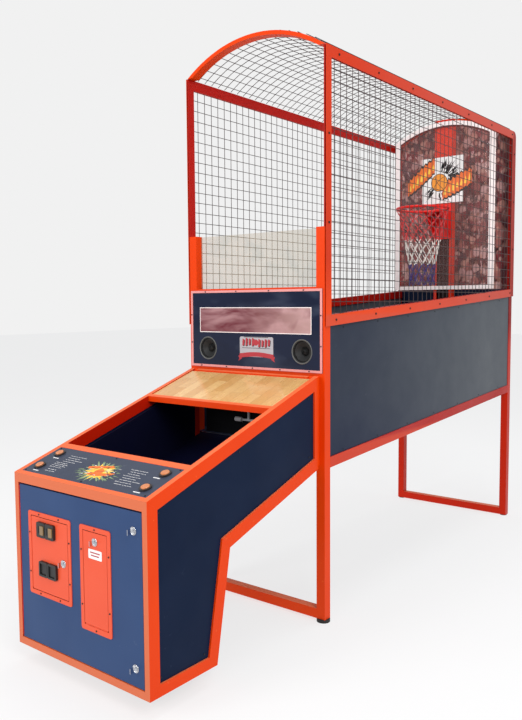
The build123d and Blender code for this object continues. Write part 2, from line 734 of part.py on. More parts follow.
# ---------------------------------------------------------------- leg frames
post_x = (post_outer - post, post_outer)
with BuildPart() as front_leg_frame:
    for x in both_sides(post_x):
        slab(x, (post_front, post_front + post), (front_foot, post_top))
    crossbar = (-post_x[0] + gap, post_x[0] - gap)
    slab(crossbar, (post_front, post_front + post), (front_foot, front_foot + post))
    slab(crossbar, (post_front, post_front + tube), (display_z[0] - 27.0, display_z[0] - gap))
    slab(crossbar, (post_front, post_front + 12.0), (display_z[1] + gap, display_z[1] + 8.0))
    for x in both_sides((post_x[0] + 4.0, cabinet_half - 8.0)):
        slab(x, (cabinet_depth + gap, post_front - gap), (belly_z + 12.0, top_line(cabinet_depth) - 4.0))
save(front_leg_frame, "front_leg_frame")

with BuildPart() as rear_leg_frame:
    for x in both_sides(post_x):
        slab(x, (rear_frame, machine_depth), (rear_foot, spring_z - bar - gap))
    for x in both_sides((post_x[0], post_outer - flat - gap)):
        slab(x, (rear_frame, roof_end), (spring_z - bar, spring_z - 1.0))
    slab(crossbar, (rear_frame, machine_depth), (rear_foot, rear_foot + post))
save(rear_leg_frame, "rear_leg_frame")

# ---------------------------------------------------------------- cage frame
behind_post = post_front + post + gap
rear_stop = rear_frame - gap


def rail_bar(low_z, height, start, end):
    """A sloping rail in the side view, low_z being its lower edge at the front posts."""
    return [
        (start, rail_line(low_z, start)),
        (end, rail_line(low_z, end)),
        (end, rail_line(low_z + height, end)),
        (start, rail_line(low_z + height, start)),
    ]


def top_rail(x):
    """A top rail, or the strip outside it, between two X limits, with its rear upper corner rounded."""
    with BuildSketch(Plane.YZ.offset(x[0])) as outline:
        with Locations((at((post_front + machine_depth) / 2), spring_z - bar / 2)):
            Rectangle(machine_depth - post_front, bar)
        rear_corner = outline.vertices().sort_by_distance((at(machine_depth), spring_z))[0]
        fillet(rear_corner, rail_corner)
    extrude(to_extrude=outline.sketch, amount=x[1] - x[0])


with BuildPart() as cage_frame:
    for x in both_sides((post_outer - tube, post_outer)):
        side_plate(rail_bar(bottom_low_z, rail_height, behind_post, rear_stop), x)
        side_plate(rail_bar(middle_top_z - rail_height, rail_height, behind_post, rear_stop), x)
    for x in both_sides((post_outer - flat, post_outer)):
        slab(x, (post_front, post_front + front_bar), (post_top + gap, spring_z - bar - gap))
        top_rail(x)
    rear_bar_z = rail_line(bottom_low_z, rear_frame)
    slab(crossbar, (rear_frame, machine_depth), (rear_bar_z, rear_bar_z + bar))
save(cage_frame, "cage_frame")


def arch_profile(radius):
    """End points and middle of an arch of a given radius that stands on the top rails."""
    height = spring_z + gap
    reach = math.sqrt(radius**2 - (height - arch_centre_z) ** 2)
    return (-reach, height), (0.0, arch_centre_z + radius), (reach, height)


with BuildPart() as cage_arches:
    for y in (post_front, roof_end - bar):
        with BuildSketch(Plane.XZ.offset(-at(y + bar))) as outline:
            with BuildLine():
                outer = ThreePointArc(*arch_profile(arch_radius))
                inner = ThreePointArc(*arch_profile(arch_radius - arch_flat))
                Line(outer @ 0, inner @ 0)
                Line(outer @ 1, inner @ 1)
            make_face()
        extrude(to_extrude=outline.sketch, amount=bar)
save(cage_arches, "cage_arches")

with BuildPart() as clamp_strips:
    for x in both_sides((strip_inner, strip_outer)):
        top_rail(x)
        side_plate(rail_bar(middle_top_z - rail_height, rail_height, post_front, machine_depth), x)
        for ends in ((post_front, post_front + front_bar), (rear_bar, machine_depth)):
            side_plate(
                [
                    (ends[0], rail_line(middle_top_z, ends[0]) + gap),
                    (ends[1], rail_line(middle_top_z, ends[1]) + gap),
                    (ends[1], spring_z - bar - gap),
                    (ends[0], spring_z - bar - gap),
                ],
                x,
            )
save(clamp_strips, "clamp_strips")

bolt_radius = 5.0
with BuildPart() as cage_bolts:
    spots = []
    for y in screw_row((1138.0,), (3253.0,), 7):
        spots.append((y[0], rail_line(middle_top_z - rail_height / 2, y[0])))
    for y in screw_row((1160.0,), (3245.0,), 7):
        spots.append((y[0], spring_z - bar / 2))
    for z in screw_row((1807.0,), (2430.0,), 3):
        spots.append((rear_bar + bar / 2, z[0]))
    spots += [(post_front + front_bar / 2, z) for z in (1815.0, 2200.0)]
    for y, z in spots:
        round_bar((strip_outer + gap, y, z), bolt_radius, bolt_head, (1, 0, 0))
        round_bar((-strip_outer - gap, y, z), bolt_radius, bolt_head, (-1, 0, 0))
    for x in (-post_outer + post / 2, post_outer - post / 2):
        for z in (1000.0, 1700.0):
            round_bar((x, machine_depth + gap, z), bolt_radius, bolt_head - gap, (0, 1, 0))
save(cage_bolts, "cage_bolts")

# ---------------------------------------------------------------- wire mesh
upright_wires = [first_upright_wire + wire_pitch * k for k in range(43)]
level_wires = [first_level_wire + wire_pitch * k for k in range(23)]
mesh_top = spring_z - bar / 2
mesh_front, mesh_rear = post_front + front_bar / 2, machine_depth - bar / 2
upright_layer = mesh_inner + wire_radius
level_layer = upright_layer + 2 * wire_radius + gap
middle_line = Plane(
    origin=(0, at(post_front), middle_top_z - rail_height / 2),
    x_dir=(1, 0, 0),
    z_dir=(0, -math.sin(rail_slope), math.cos(rail_slope)),
)
for side, sign in (("left", -1), ("right", 1)):
    with BuildPart() as side_mesh:
        with BuildSketch(Plane.XY.offset(first_level_wire - wire_pitch)):
            with Locations(*[(sign * upright_layer, at(y)) for y in upright_wires]):
                Circle(wire_radius)
        extrude(amount=mesh_top - first_level_wire + wire_pitch)
        with BuildSketch(Plane.XZ.offset(-at(mesh_front))):
            with Locations(*[(sign * level_layer, z) for z in level_wires]):
                Circle(wire_radius)
        extrude(amount=-(mesh_rear - mesh_front))
        split(bisect_by=middle_line, keep=Keep.TOP)
    save(side_mesh, f"side_mesh_{side}")

roof_wires = 17
hoop_radius = arch_radius + gap + wire_radius
ridge_radius = hoop_radius + 2 * wire_radius + gap
roof_margin = 0.35  # degrees kept clear of the top rails at each end of a hoop
hoop_arc = 2 * (arch_half_angle - roof_margin)
roof_pitch = 2 * arch_half_angle / roof_wires
with BuildPart() as roof_mesh:
    hoop_start = math.radians(hoop_arc / 2)
    hoop_plane = Plane(
        origin=(0, 0, arch_centre_z), x_dir=(0, 1, 0), z_dir=(math.cos(hoop_start), 0, math.sin(hoop_start))
    )
    with BuildSketch(hoop_plane) as outline:
        with Locations(*[(at(y), hoop_radius) for y in upright_wires]):
            Circle(wire_radius)
    revolve(
        profiles=outline.sketch,
        axis=Axis((0, 0, arch_centre_z), (0, 1, 0)),
        revolution_arc=hoop_arc,
    )
    with BuildSketch(Plane.XZ.offset(-at(mesh_front))) as ridges:
        for k in range(roof_wires):
            angle = math.radians(90 - arch_half_angle + roof_pitch * (k + 0.5))
            with Locations((ridge_radius * math.cos(angle), arch_centre_z + ridge_radius * math.sin(angle))):
                Circle(wire_radius)
    extrude(to_extrude=ridges.sketch, amount=-(roof_end - 6.0 - mesh_front))
save(roof_mesh, "roof_mesh")

# ---------------------------------------------------------------- cage panels and floor
for side, sign in (("left", -1), ("right", 1)):
    x = sorted((sign * lower_panel_x[0], sign * lower_panel_x[1]))
    low = bottom_low_z + rail_height + gap
    high = middle_top_z - rail_height - gap
    with BuildPart() as lower_side_panel:
        side_plate(rail_bar(low, high - low, behind_post, rear_stop), x)
    save(lower_side_panel, f"lower_side_panel_{side}")

ramp_thick = 10.0
board_bottom = 1545.0
back_y = (rear_frame - 8.0, rear_frame - gap)
ramp_low = well_line(post_front) - ramp_thick + 1.0
with BuildPart() as ramp_floor:
    side_plate(
        rail_bar(ramp_low, ramp_thick, behind_post, back_y[0] - gap),
        (-lower_panel_x[0] + gap, lower_panel_x[0] - gap),
    )
    side_plate(rail_bar(ramp_low, ramp_thick, post_front, behind_post + 1), crossbar)
save(ramp_floor, "ramp_floor")

with BuildPart() as rear_lower_panel:
    inner_cage = post_outer - tube - gap
    slab(
        (-inner_cage, inner_cage),
        back_y,
        (rail_line(bottom_low_z + rail_height, rear_frame) + 8.0, board_bottom - gap),
    )
save(rear_lower_panel, "rear_lower_panel")


def arched_panel(half_width, low_z, radius, y):
    """An upright panel with an arched top that follows the roof."""
    shoulder = arch_centre_z + math.sqrt(radius**2 - half_width**2)
    with BuildSketch(Plane.XZ.offset(-at(y[1]))) as outline:
        with BuildLine():
            left_top, right_top = (-half_width, shoulder), (half_width, shoulder)
            Polyline(left_top, (-half_width, low_z), (half_width, low_z), right_top)
            ThreePointArc(left_top, (0, arch_centre_z + radius), right_top)
        make_face()
    extrude(to_extrude=outline.sketch, amount=y[1] - y[0])


with BuildPart() as crowd_panel:
    arched_panel(post_outer - arch_flat, board_bottom, arch_radius - arch_flat - 1.0, back_y)
save(crowd_panel, "crowd_panel")

# ---------------------------------------------------------------- display
face_thick = 3.0
speaker_x, speaker_z, speaker_radius = 288.0, 1240.0, 56.0
face_y = (post_front - face_thick - gap, post_front - gap)
with BuildPart() as display_face:
    slab((-display_half, display_half), face_y, display_z)
    for x in (-speaker_x, speaker_x):
        speaker_hole = (x, face_y[0] - 1, speaker_z)
        round_bar(speaker_hole, speaker_radius - 3.0, face_thick + 2, (0, 1, 0), Mode.SUBTRACT)
save(display_face, "display_face")

with BuildPart() as display_bezel:
    bezel_y = (face_y[0] - 2.6, face_y[0] - gap)
    for z in ((display_z[0], display_z[0] + bezel_width), (display_z[1] - bezel_width, display_z[1])):
        slab((-display_half, display_half), bezel_y, z)
    upright_z = (display_z[0] + bezel_width + gap, display_z[1] - bezel_width - gap)
    for x in both_sides((display_half - bezel_width, display_half)):
        slab(x, bezel_y, upright_z)
save(display_bezel, "display_bezel")

housing_half = post_x[0] - gap
housing_y = (post_front + gap, post_front + 110.0)
with BuildPart() as display_housing:
    sheet_z = 2.0
    slab((-housing_half, housing_half), housing_y, (display_z[0], display_z[0] + sheet_z))
    slab((-housing_half, housing_half), housing_y, (display_z[1] - sheet_z, display_z[1]))
    inside_z = (display_z[0] + sheet_z + gap, display_z[1] - sheet_z - gap)
    for x in both_sides((housing_half - sheet_z, housing_half)):
        slab(x, (housing_y[0], housing_y[1] - sheet_z - gap), inside_z)
    slab((-housing_half, housing_half), (housing_y[1] - sheet_z, housing_y[1]), inside_z)
save(display_housing, "display_housing")

with BuildPart() as speakers:
    for x in (-speaker_x, speaker_x):
        round_bar((x, housing_y[0], speaker_z), speaker_radius, 5.0, (0, 1, 0), bore=speaker_radius - 8.0)
        with BuildSketch(Plane(origin=(x, at(housing_y[0] + 5.0), speaker_z), z_dir=(0, 1, 0))) as rim_ring:
            Circle(speaker_radius - 4.0)
        with BuildSketch(Plane(origin=(x, at(housing_y[0] + 32.0), speaker_z), z_dir=(0, 1, 0))) as back_ring:
            Circle(24.0)
        loft(sections=[rim_ring.sketch, back_ring.sketch])
        round_bar((x, housing_y[0] + 32.0, speaker_z), 30.0, 24.0, (0, 1, 0))
        with BuildSketch(Plane(origin=(x, at(housing_y[0] - 1.0), speaker_z), z_dir=(0, 1, 0))) as mouth:
            Circle(speaker_radius - 8.0)
        with BuildSketch(Plane(origin=(x, at(housing_y[0] + 28.0), speaker_z), z_dir=(0, 1, 0))) as throat:
            Circle(18.0)
        loft(sections=[mouth.sketch, throat.sketch], mode=Mode.SUBTRACT)
save(speakers, "speakers")

with BuildPart() as shield:
    shield_y = (post_front + 36.0, post_front + 41.0)
    slab((-housing_half, housing_half), shield_y, (display_z[1] + gap, post_top - 2.0))
save(shield, "shield")

# ---------------------------------------------------------------- backboard, hoop and net
board_y = (3112.0, 3118.0)
board_half = 365.0
board_radius = 680.0
with BuildPart() as backboard:
    arched_panel(board_half, board_bottom, board_radius, board_y)
save(backboard, "backboard")

column_half, column_lip, column_wall = 65.0, 20.0, 3.0
column_y = (board_y[1] + gap, board_y[1] + 46.0)
column_z = (rail_line(ramp_low + ramp_thick, column_y[1]) + 2.0, 2688.0)
with BuildPart() as hoop_column:
    slab((-column_half, column_half), column_y, column_z)
    slab(
        (-column_half + column_wall, column_half - column_wall),
        (column_y[0] + column_wall, column_y[1] - column_wall),
        (column_z[0] - 1, column_z[1] + 1),
        Mode.SUBTRACT,
    )
    rim_z = 2065.0
    slab(
        (-column_half + column_lip, column_half - column_lip),
        (column_y[0] - 1, column_y[0] + column_wall + 1),
        (column_z[0] - 1, rim_z - 170.0),
        Mode.SUBTRACT,
    )
    for z in (1640.0, 2480.0):
        slab((-20.0, 20.0), (column_y[1] + gap, back_y[0] - gap), (z, z + 40.0))
save(hoop_column, "hoop_column")

rim_y = 2810.0
rim_ring_radius, rim_wire = 164.0, 8.0
bracket_half = 62.0
bracket_sheet = 6.0
bracket_top = rim_z + 58.0
bracket_low = rim_z - 177.0
rim_back = rim_y + rim_ring_radius
with BuildPart() as hoop_rim:
    with BuildSketch(Plane(origin=(0, at(rim_y), rim_z), x_dir=(0, -1, 0), z_dir=(1, 0, 0))) as section:
        with Locations((rim_ring_radius, 0)):
            Circle(rim_wire)
    revolve(profiles=section.sketch, axis=Axis((0, at(rim_y), rim_z), (0, 0, 1)))
    plate_y = (board_y[0] - bracket_sheet - gap, board_y[0] - gap)
    slab((-bracket_half, bracket_half), plate_y, (bracket_low, bracket_top))
    for x in both_sides((bracket_half - 4.0, bracket_half)):
        side_plate(
            [
                (plate_y[0] + 1.0, bracket_low + 10.0),
                (plate_y[0] + 1.0, rim_z + 6.0),
                (rim_back - 14.0, rim_z + 6.0),
                (rim_back - 14.0, rim_z - 6.0),
            ],
            x,
        )
    slab((-bracket_half, bracket_half), (rim_back - 6.0, plate_y[0] + 1.0), (rim_z + 2.0, rim_z + 6.0))
save(hoop_rim, "hoop_rim")

net_wall = 2.0
net_profile = [
    (rim_ring_radius - 4.0, rim_z - rim_wire - 0.5),
    (140.0, rim_z - 85.0),
    (116.0, rim_z - 175.0),
    (93.0, rim_z - 270.0),
    (80.0, rim_z - 400.0),
    (82.0, rim_z - 500.0),
]
with BuildPart() as hoop_net:
    with BuildSketch(Plane(origin=(0, at(rim_y), 0), x_dir=(1, 0, 0), z_dir=(0, -1, 0))) as section:
        with BuildLine():
            outer = [(radius, z) for radius, z in net_profile]
            inner = [(radius - net_wall, z) for radius, z in reversed(net_profile)]
            Polyline(*outer, *inner, close=True)
        make_face()
    revolve(profiles=section.sketch, axis=Axis((0, at(rim_y), 0), (0, 0, 1)))
save(hoop_net, "hoop_net")

# ---------------------------------------------------------------- electronics
with BuildPart() as power_unit:
    slab((-320.0, -180.0), (200.0, 262.0), (base_height + 30.0 + gap, 200.0))
    slab((-236.0, -184.0), (base_depth - 34.0, base_depth + 26.0), (228.0, 264.0))
    slab((-228.0, -192.0), (base_depth + 14.0, base_depth + 27.0), (235.0, 257.0), Mode.SUBTRACT)
    for x in (-216.0, -210.0, -204.0):
        slab((x - 1.0, x + 1.0), (base_depth + 13.0, base_depth + 23.0), (243.0, 249.0))
save(power_unit, "power_unit")
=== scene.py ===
"""Looks for the basketball hoop arcade machine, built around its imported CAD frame.

Metres, in the frame of the part: +X right, +Y to the rear, +Z up, front towards -Y.
"""

import json
import math
import random

import bmesh
import bpy
from mathutils import Matrix, Vector


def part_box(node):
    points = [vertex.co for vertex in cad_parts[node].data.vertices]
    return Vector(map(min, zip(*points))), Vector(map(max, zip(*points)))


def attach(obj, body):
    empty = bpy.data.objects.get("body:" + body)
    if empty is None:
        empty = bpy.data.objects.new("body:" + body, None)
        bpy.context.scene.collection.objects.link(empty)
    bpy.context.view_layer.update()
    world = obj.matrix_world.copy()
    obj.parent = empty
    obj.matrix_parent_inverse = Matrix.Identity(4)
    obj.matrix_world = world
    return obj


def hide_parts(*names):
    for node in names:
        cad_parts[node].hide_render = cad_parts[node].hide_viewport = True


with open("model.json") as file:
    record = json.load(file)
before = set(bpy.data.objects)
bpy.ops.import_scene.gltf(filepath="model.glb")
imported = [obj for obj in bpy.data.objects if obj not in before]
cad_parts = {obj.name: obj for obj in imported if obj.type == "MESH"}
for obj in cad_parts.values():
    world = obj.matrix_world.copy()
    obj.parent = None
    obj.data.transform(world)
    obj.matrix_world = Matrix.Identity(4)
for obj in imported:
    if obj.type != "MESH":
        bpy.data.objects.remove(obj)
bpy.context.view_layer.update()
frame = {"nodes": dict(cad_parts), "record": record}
nodes = frame["nodes"]
scene = bpy.context.scene
MM = 0.001

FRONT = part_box("cabinet_frame")[0].y  # the cabinet's front face
SLOPE = math.radians(18.48)  # of the control panel and the deck
PANEL_TOP = 0.787  # height of the sloping plane at the front face
FLOOR_GLOW = 0.69  # keeps the pale floor even where the lights fall off


# ---------------------------------------------------------------- camera, light and floor
def make_camera():
    """The camera stands in front and to the right of the machine, slightly above the deck."""
    yaw, pitch, roll = math.radians(38.665), math.radians(4.325), math.radians(-0.3856)
    place = (2.28465, FRONT - 1.73668, 1.46340)
    forward = Vector((-math.sin(yaw), math.cos(yaw), 0))
    right = Vector((math.cos(yaw), math.sin(yaw), 0))
    up = Vector((0, 0, 1))
    aim = forward * math.cos(pitch) - up * math.sin(pitch)
    head = forward * math.sin(pitch) + up * math.cos(pitch)
    x = right * math.cos(roll) + head * math.sin(roll)
    y = head * math.cos(roll) - right * math.sin(roll)
    data = bpy.data.cameras.new("camera")
    data.lens, data.sensor_width = 37.83, 36.0
    camera = bpy.data.objects.new("camera", data)
    scene.collection.objects.link(camera)
    matrix = Matrix((x, y, -aim)).transposed().to_4x4()
    matrix.translation = place
    camera.matrix_world = matrix
    scene.camera = camera


def area_light(name, place, target, size, power):
    """A square white light at a place, turned to its target; size in metres, power in watts."""
    data = bpy.data.lights.new(name, "AREA")
    data.shape, data.size, data.energy = "SQUARE", size, power
    light = bpy.data.objects.new(name, data)
    scene.collection.objects.link(light)
    light.location = place
    light.rotation_mode = "QUATERNION"
    light.rotation_quaternion = (Vector(target) - Vector(place)).to_track_quat("-Z", "Y")


def make_light():
    """Soft studio light: an even sky that the camera sees as a pale backdrop, and three large lights."""
    scene.view_settings.view_transform = "Standard"
    world = bpy.data.worlds.new("studio")
    scene.world = world
    world.use_nodes = True
    tree = world.node_tree
    soft = tree.nodes["Background"]
    soft.inputs["Color"].default_value = (0.96, 0.97, 1.0, 1)
    soft.inputs["Strength"].default_value = 0.62
    pale = tree.nodes.new("ShaderNodeBackground")
    pale.inputs["Color"].default_value = (0.88, 0.88, 0.88, 1)
    seen = tree.nodes.new("ShaderNodeLightPath")
    mix = tree.nodes.new("ShaderNodeMixShader")
    tree.links.new(seen.outputs["Is Camera Ray"], mix.inputs[0])
    tree.links.new(soft.outputs[0], mix.inputs[1])
    tree.links.new(pale.outputs[0], mix.inputs[2])
    tree.links.new(mix.outputs[0], tree.nodes["World Output"].inputs["Surface"])
    area_light("key", (4.6, -3.2, 4.4), (0.2, -0.2, 1.0), 3.0, 190)
    area_light("front", (-1.6, -6.4, 3.0), (0, -1.2, 0.8), 2.4, 150)
    area_light("top", (0.4, 0.3, 5.6), (0, 0.2, 1.0), 3.4, 110)


def make_floor():
    """A large pale floor."""
    reach = 30.0
    corners = [(x * reach, y * reach, 0) for x, y in ((-1, -1), (1, -1), (1, 1), (-1, 1))]
    mesh = bpy.data.meshes.new("floor")
    mesh.from_pydata(corners, [], [(0, 1, 2, 3)])
    floor = bpy.data.objects.new("floor", mesh)
    scene.collection.objects.link(floor)
    surface = Surface("floor_pale", (136, 136, 136), rough=0.9, specular=0.0)
    surface.vary((130, 131, 132), scale=1.2, share=0.3)
    surface.shader.inputs["Emission Color"].default_value = (1, 1, 1, 1)
    surface.shader.inputs["Emission Strength"].default_value = FLOOR_GLOW
    floor.data.materials.append(surface.mat)


# ---------------------------------------------------------------- materials
def linear(colour):
    """A linear colour from 8-bit sRGB values."""
    values = [c / 255 for c in colour]
    return tuple(((c + 0.055) / 1.055) ** 2.4 if c > 0.04045 else c / 12.92 for c in values) + (1.0,)


class Surface:
    """A Principled material whose colour, roughness and bump are built up from noise in object space."""

    def __init__(self, name, colour, rough, metal=0.0, specular=0.5, coat=0.0, coat_rough=0.05, alpha=1.0):
        self.mat = bpy.data.materials.new(name)
        self.mat.use_nodes = True
        self.tree = self.mat.node_tree
        self.shader = self.tree.nodes["Principled BSDF"]
        values = {
            "Base Color": linear(colour),
            "Roughness": rough,
            "Metallic": metal,
            "Specular IOR Level": specular,
            "Coat Weight": coat,
            "Coat Roughness": coat_rough,
            "Alpha": alpha,
            "IOR": 1.5,
        }
        for socket, value in values.items():
            self.shader.inputs[socket].default_value = value
        self.coords = self.add("ShaderNodeTexCoord").outputs["Object"]
        self.colour = None

    def add(self, kind, **inputs):
        """A new node; inputs are its sockets' names with _ for a space, and a value or a socket for each."""
        node = self.tree.nodes.new(kind)
        for socket, value in inputs.items():
            self.feed(node.inputs[socket.replace("_", " ")], value)
        return node

    def feed(self, socket, value):
        """Links a socket to another one, or sets its value."""
        if isinstance(value, bpy.types.NodeSocket):
            self.tree.links.new(value, socket)
        else:
            socket.default_value = value

    def stretch(self, scale, turn=(0, 0, 0)):
        """Object coordinates, turned and scaled along each axis."""
        mapping = self.add("ShaderNodeMapping", Vector=self.coords)
        mapping.inputs["Scale"].default_value = scale
        mapping.inputs["Rotation"].default_value = turn
        return mapping.outputs["Vector"]

    def noise(self, scale, detail=4.0, distortion=0.0, coords=None):
        """A noise value, in object space unless other coordinates are given."""
        return self.add(
            "ShaderNodeTexNoise",
            Vector=coords or self.coords,
            Scale=scale,
            Detail=detail,
            Distortion=distortion,
            Roughness=0.55,
        ).outputs["Fac"]

    def ramp(self, value, stops, constant=False):
        """A colour ramp; stops are (place, sRGB colour or grey level from 0 to 1)."""
        node = self.add("ShaderNodeValToRGB", Fac=value)
        ramp = node.color_ramp
        ramp.interpolation = "CONSTANT" if constant else "LINEAR"
        while len(ramp.elements) < len(stops):
            ramp.elements.new(0.5)
        for element, (place, tone) in zip(ramp.elements, stops):
            element.position = place
            element.color = linear(tone) if isinstance(tone, tuple) else (tone, tone, tone, 1)
        return node.outputs["Color"]

    def base(self):
        """The present colour: a socket, or the shader's own value before anything is laid over it."""
        if self.colour is None:
            self.colour = tuple(self.shader.inputs["Base Color"].default_value)
        return self.colour

    def blend(self, factor, colour):
        """Lays a colour over the present one by a factor."""
        mix = self.tree.nodes.new("ShaderNodeMix")
        mix.data_type = "RGBA"
        under, over = mix.inputs[6], mix.inputs[7]
        self.feed(mix.inputs[0], factor)
        self.feed(under, self.base())
        self.feed(over, linear(colour) if isinstance(colour, tuple) else colour)
        self.colour = mix.outputs[2]
        self.tree.links.new(self.colour, self.shader.inputs["Base Color"])
        return self

    def vary(self, colour, scale, share, coords=None):
        """Clouds of a second colour, share of them at most."""
        return self.patches((scale, 4.0, 0.3, coords), 0.3, 0.75, share, colour)

    def spots(self, colour, scale, low, high, share):
        """Sparse scuffs, dust or smudges of another colour, where a noise goes from low to high."""
        return self.patches((scale, 6.0, 0.6), low, high, share, colour)

    def patches(self, noise, low, high, share, colour):
        """Another colour where a noise of (scale, detail, distortion, coordinates) goes from low to high."""
        return self.blend(self.ramp(self.noise(*noise), [(low, 0.0), (high, share)]), colour)

    def between(self, vector, axis, start, end):
        """How far one component of a vector is from start to end, kept within 0 and 1."""
        value = self.add("ShaderNodeSeparateXYZ", Vector=vector).outputs[axis]
        node = self.add("ShaderNodeMapRange", Value=value)
        node.inputs["From Min"].default_value, node.inputs["From Max"].default_value = start, end
        return node.outputs["Result"]

    def fade(self, axis, start, end, colour, share):
        """Another colour that comes in along an axis, from start to end in metres."""
        place = self.between(self.coords, axis, start, end)
        return self.blend(self.ramp(place, [(0.0, 0.0), (1.0, share)]), colour)

    def facing(self, axis, colour, share, sign=1.0, within=None):
        """Another colour on faces that look along an axis, or against it with a sign of -1.

        within is an axis, start and end in metres, between which the colour comes in.
        """
        normal = self.add("ShaderNodeNewGeometry").outputs["Normal"]
        factor = self.ramp(self.between(normal, axis, 0.0, sign), [(0.8, 0.0), (0.96, share)])
        if within:
            product = self.add("ShaderNodeMath")
            product.operation = "MULTIPLY"
            self.feed(product.inputs[0], factor)
            self.feed(product.inputs[1], self.between(self.coords, *within))
            factor = product.outputs[0]
        return self.blend(factor, colour)

    def worn(self, low, high, scale=6.0, detail=5.0):
        """Roughness that wanders between two values."""
        node = self.add("ShaderNodeMapRange", Value=self.noise(scale, detail))
        node.inputs["From Min"].default_value, node.inputs["From Max"].default_value = 0.3, 0.7
        node.inputs["To Min"].default_value, node.inputs["To Max"].default_value = low, high
        self.tree.links.new(node.outputs["Result"], self.shader.inputs["Roughness"])
        return self

    def bump(self, scale, strength, distance, detail=2.0, coords=None):
        """Fine relief from noise, distance in metres."""
        node = self.add("ShaderNodeBump", Strength=strength, Distance=distance)
        self.tree.links.new(self.noise(scale, detail, coords=coords), node.inputs["Height"])
        self.tree.links.new(node.outputs["Normal"], self.shader.inputs["Normal"])
        return self


def painted(name, colour, second, dust, rough=0.3, coat=0.1, peel=520.0, specular=0.25):
    """Glossy enamel: faint clouds, small scuffs, orange peel."""
    surface = Surface(name, colour, rough=rough, coat=coat, coat_rough=0.12, specular=specular)
    surface.vary(second, scale=3.0, share=0.55)
    surface.spots(dust, scale=42.0, low=0.68, high=0.76, share=0.5)
    surface.worn(rough - 0.06, rough + 0.1)
    return surface.bump(peel, 0.12, 0.0004)


def metal(name, colour, second, rough, scale=40.0, peel=300.0):
    """Bare or plated metal with clouds and slightly uneven gloss."""
    surface = Surface(name, colour, rough=rough, metal=1.0)
    surface.vary(second, scale=scale, share=0.7)
    surface.worn(rough * 0.8, rough * 1.4, scale=25.0)
    return surface.bump(peel, 0.1, 0.0002)


def plastic(name, colour, second, rough=0.35, grain=700.0, strength=0.15, **more):
    """Moulded plastic, ink or clear sheet: two close colours and a fine grain."""
    surface = Surface(name, colour, rough=rough, **more)
    surface.vary(second, scale=9.0, share=0.5)
    surface.worn(rough * 0.85, rough * 1.25, scale=18.0)
    return surface.bump(grain, strength, 0.0003)


def maple():
    """Varnished strips that run from front to rear, with long grain."""
    surface = Surface("maple", (226, 178, 112), rough=0.25, coat=0.5, coat_rough=0.08)
    swap = surface.stretch((1, 1, 1), (0, 0, math.pi / 2))
    brick = surface.add("ShaderNodeTexBrick", Vector=swap, Scale=1.0)
    brick.offset, brick.squash = 0.37, 1.0
    values = {
        "Brick Width": 0.27,
        "Row Height": 0.058,
        "Mortar Size": 0.0006,
        "Bias": 0.0,
        "Mortar Smooth": 0.3,
        "Color1": linear((238, 196, 132)),
        "Color2": linear((214, 160, 92)),
        "Mortar": linear((150, 100, 52)),
    }
    for socket, value in values.items():
        brick.inputs[socket].default_value = value
    surface.blend(1.0, brick.outputs["Color"])
    grain = surface.stretch((60, 3.0, 30))
    surface.patches((3.0, 7.0, 1.6, grain), 0.4, 0.7, 0.45, (188, 126, 62))
    surface.patches((5.0, 3.0, 0.4), 0.55, 0.8, 0.3, (246, 214, 160))
    surface.worn(0.16, 0.34, scale=8.0)
    return surface.bump(4.0, 0.06, 0.0004, detail=6.0, coords=grain)


def crowd():
    """An out-of-focus printed crowd: round blobs with no faces over blurred clothes."""
    surface = Surface("crowd_print", (50, 12, 18), rough=0.5, specular=0.15)
    place = surface.add("ShaderNodeSeparateXYZ", Vector=surface.coords).outputs

    def people(shift, scale):
        """Cells of a crowd, moved down by a shift; gives distance and random colour."""
        height = surface.add("ShaderNodeMath")
        height.operation = "MULTIPLY_ADD"
        surface.feed(height.inputs[0], place["Z"])
        height.inputs[1].default_value, height.inputs[2].default_value = 0.8, shift
        flat = surface.add("ShaderNodeCombineXYZ", X=place["X"], Y=height.outputs[0])
        cells = surface.add("ShaderNodeTexVoronoi", Vector=flat.outputs[0])
        cells.voronoi_dimensions = "2D"
        cells.inputs["Scale"].default_value, cells.inputs["Randomness"].default_value = scale, 0.85
        parts = surface.add("ShaderNodeSeparateColor", Color=cells.outputs["Color"])
        return cells.outputs["Distance"], parts.outputs["Red"]

    clothes = [(0.0, (98, 34, 38)), (0.22, (162, 98, 92)), (0.42, (206, 166, 162)), (0.6, (128, 46, 54))]
    clothes += [(0.76, (84, 56, 64)), (0.88, (190, 140, 126))]
    skin = [(0.0, (192, 142, 128)), (0.35, (142, 92, 74)), (0.6, (206, 166, 156)), (0.85, (98, 58, 48))]
    for shift, scale in ((0.05, 15.0), (0.31, 19.0)):
        layers = ((0.03, [(0.4, 0.9), (0.58, 0.0)], clothes), (0.0, [(0.16, 0.75), (0.25, 0.0)], skin))
        for lower, edge, tones in layers:
            distance, tone = people(shift + lower, scale)
            surface.blend(surface.ramp(distance, edge), surface.ramp(tone, tones, constant=True))
    surface.patches((9.0, 4.0, 0.4), 0.4, 0.7, 0.55, (120, 62, 62))
    streak = surface.stretch((1.0, 1.0, 0.45), (0, 0.35, 0))
    surface.patches((22.0, 5.0, 1.0, streak), 0.57, 0.64, 0.75, (44, 12, 20))
    surface.patches((19.0, 5.0, 1.6, streak), 0.62, 0.67, 0.75, (236, 202, 202))
    surface.worn(0.35, 0.55)
    return surface.bump(600.0, 0.06, 0.0003)


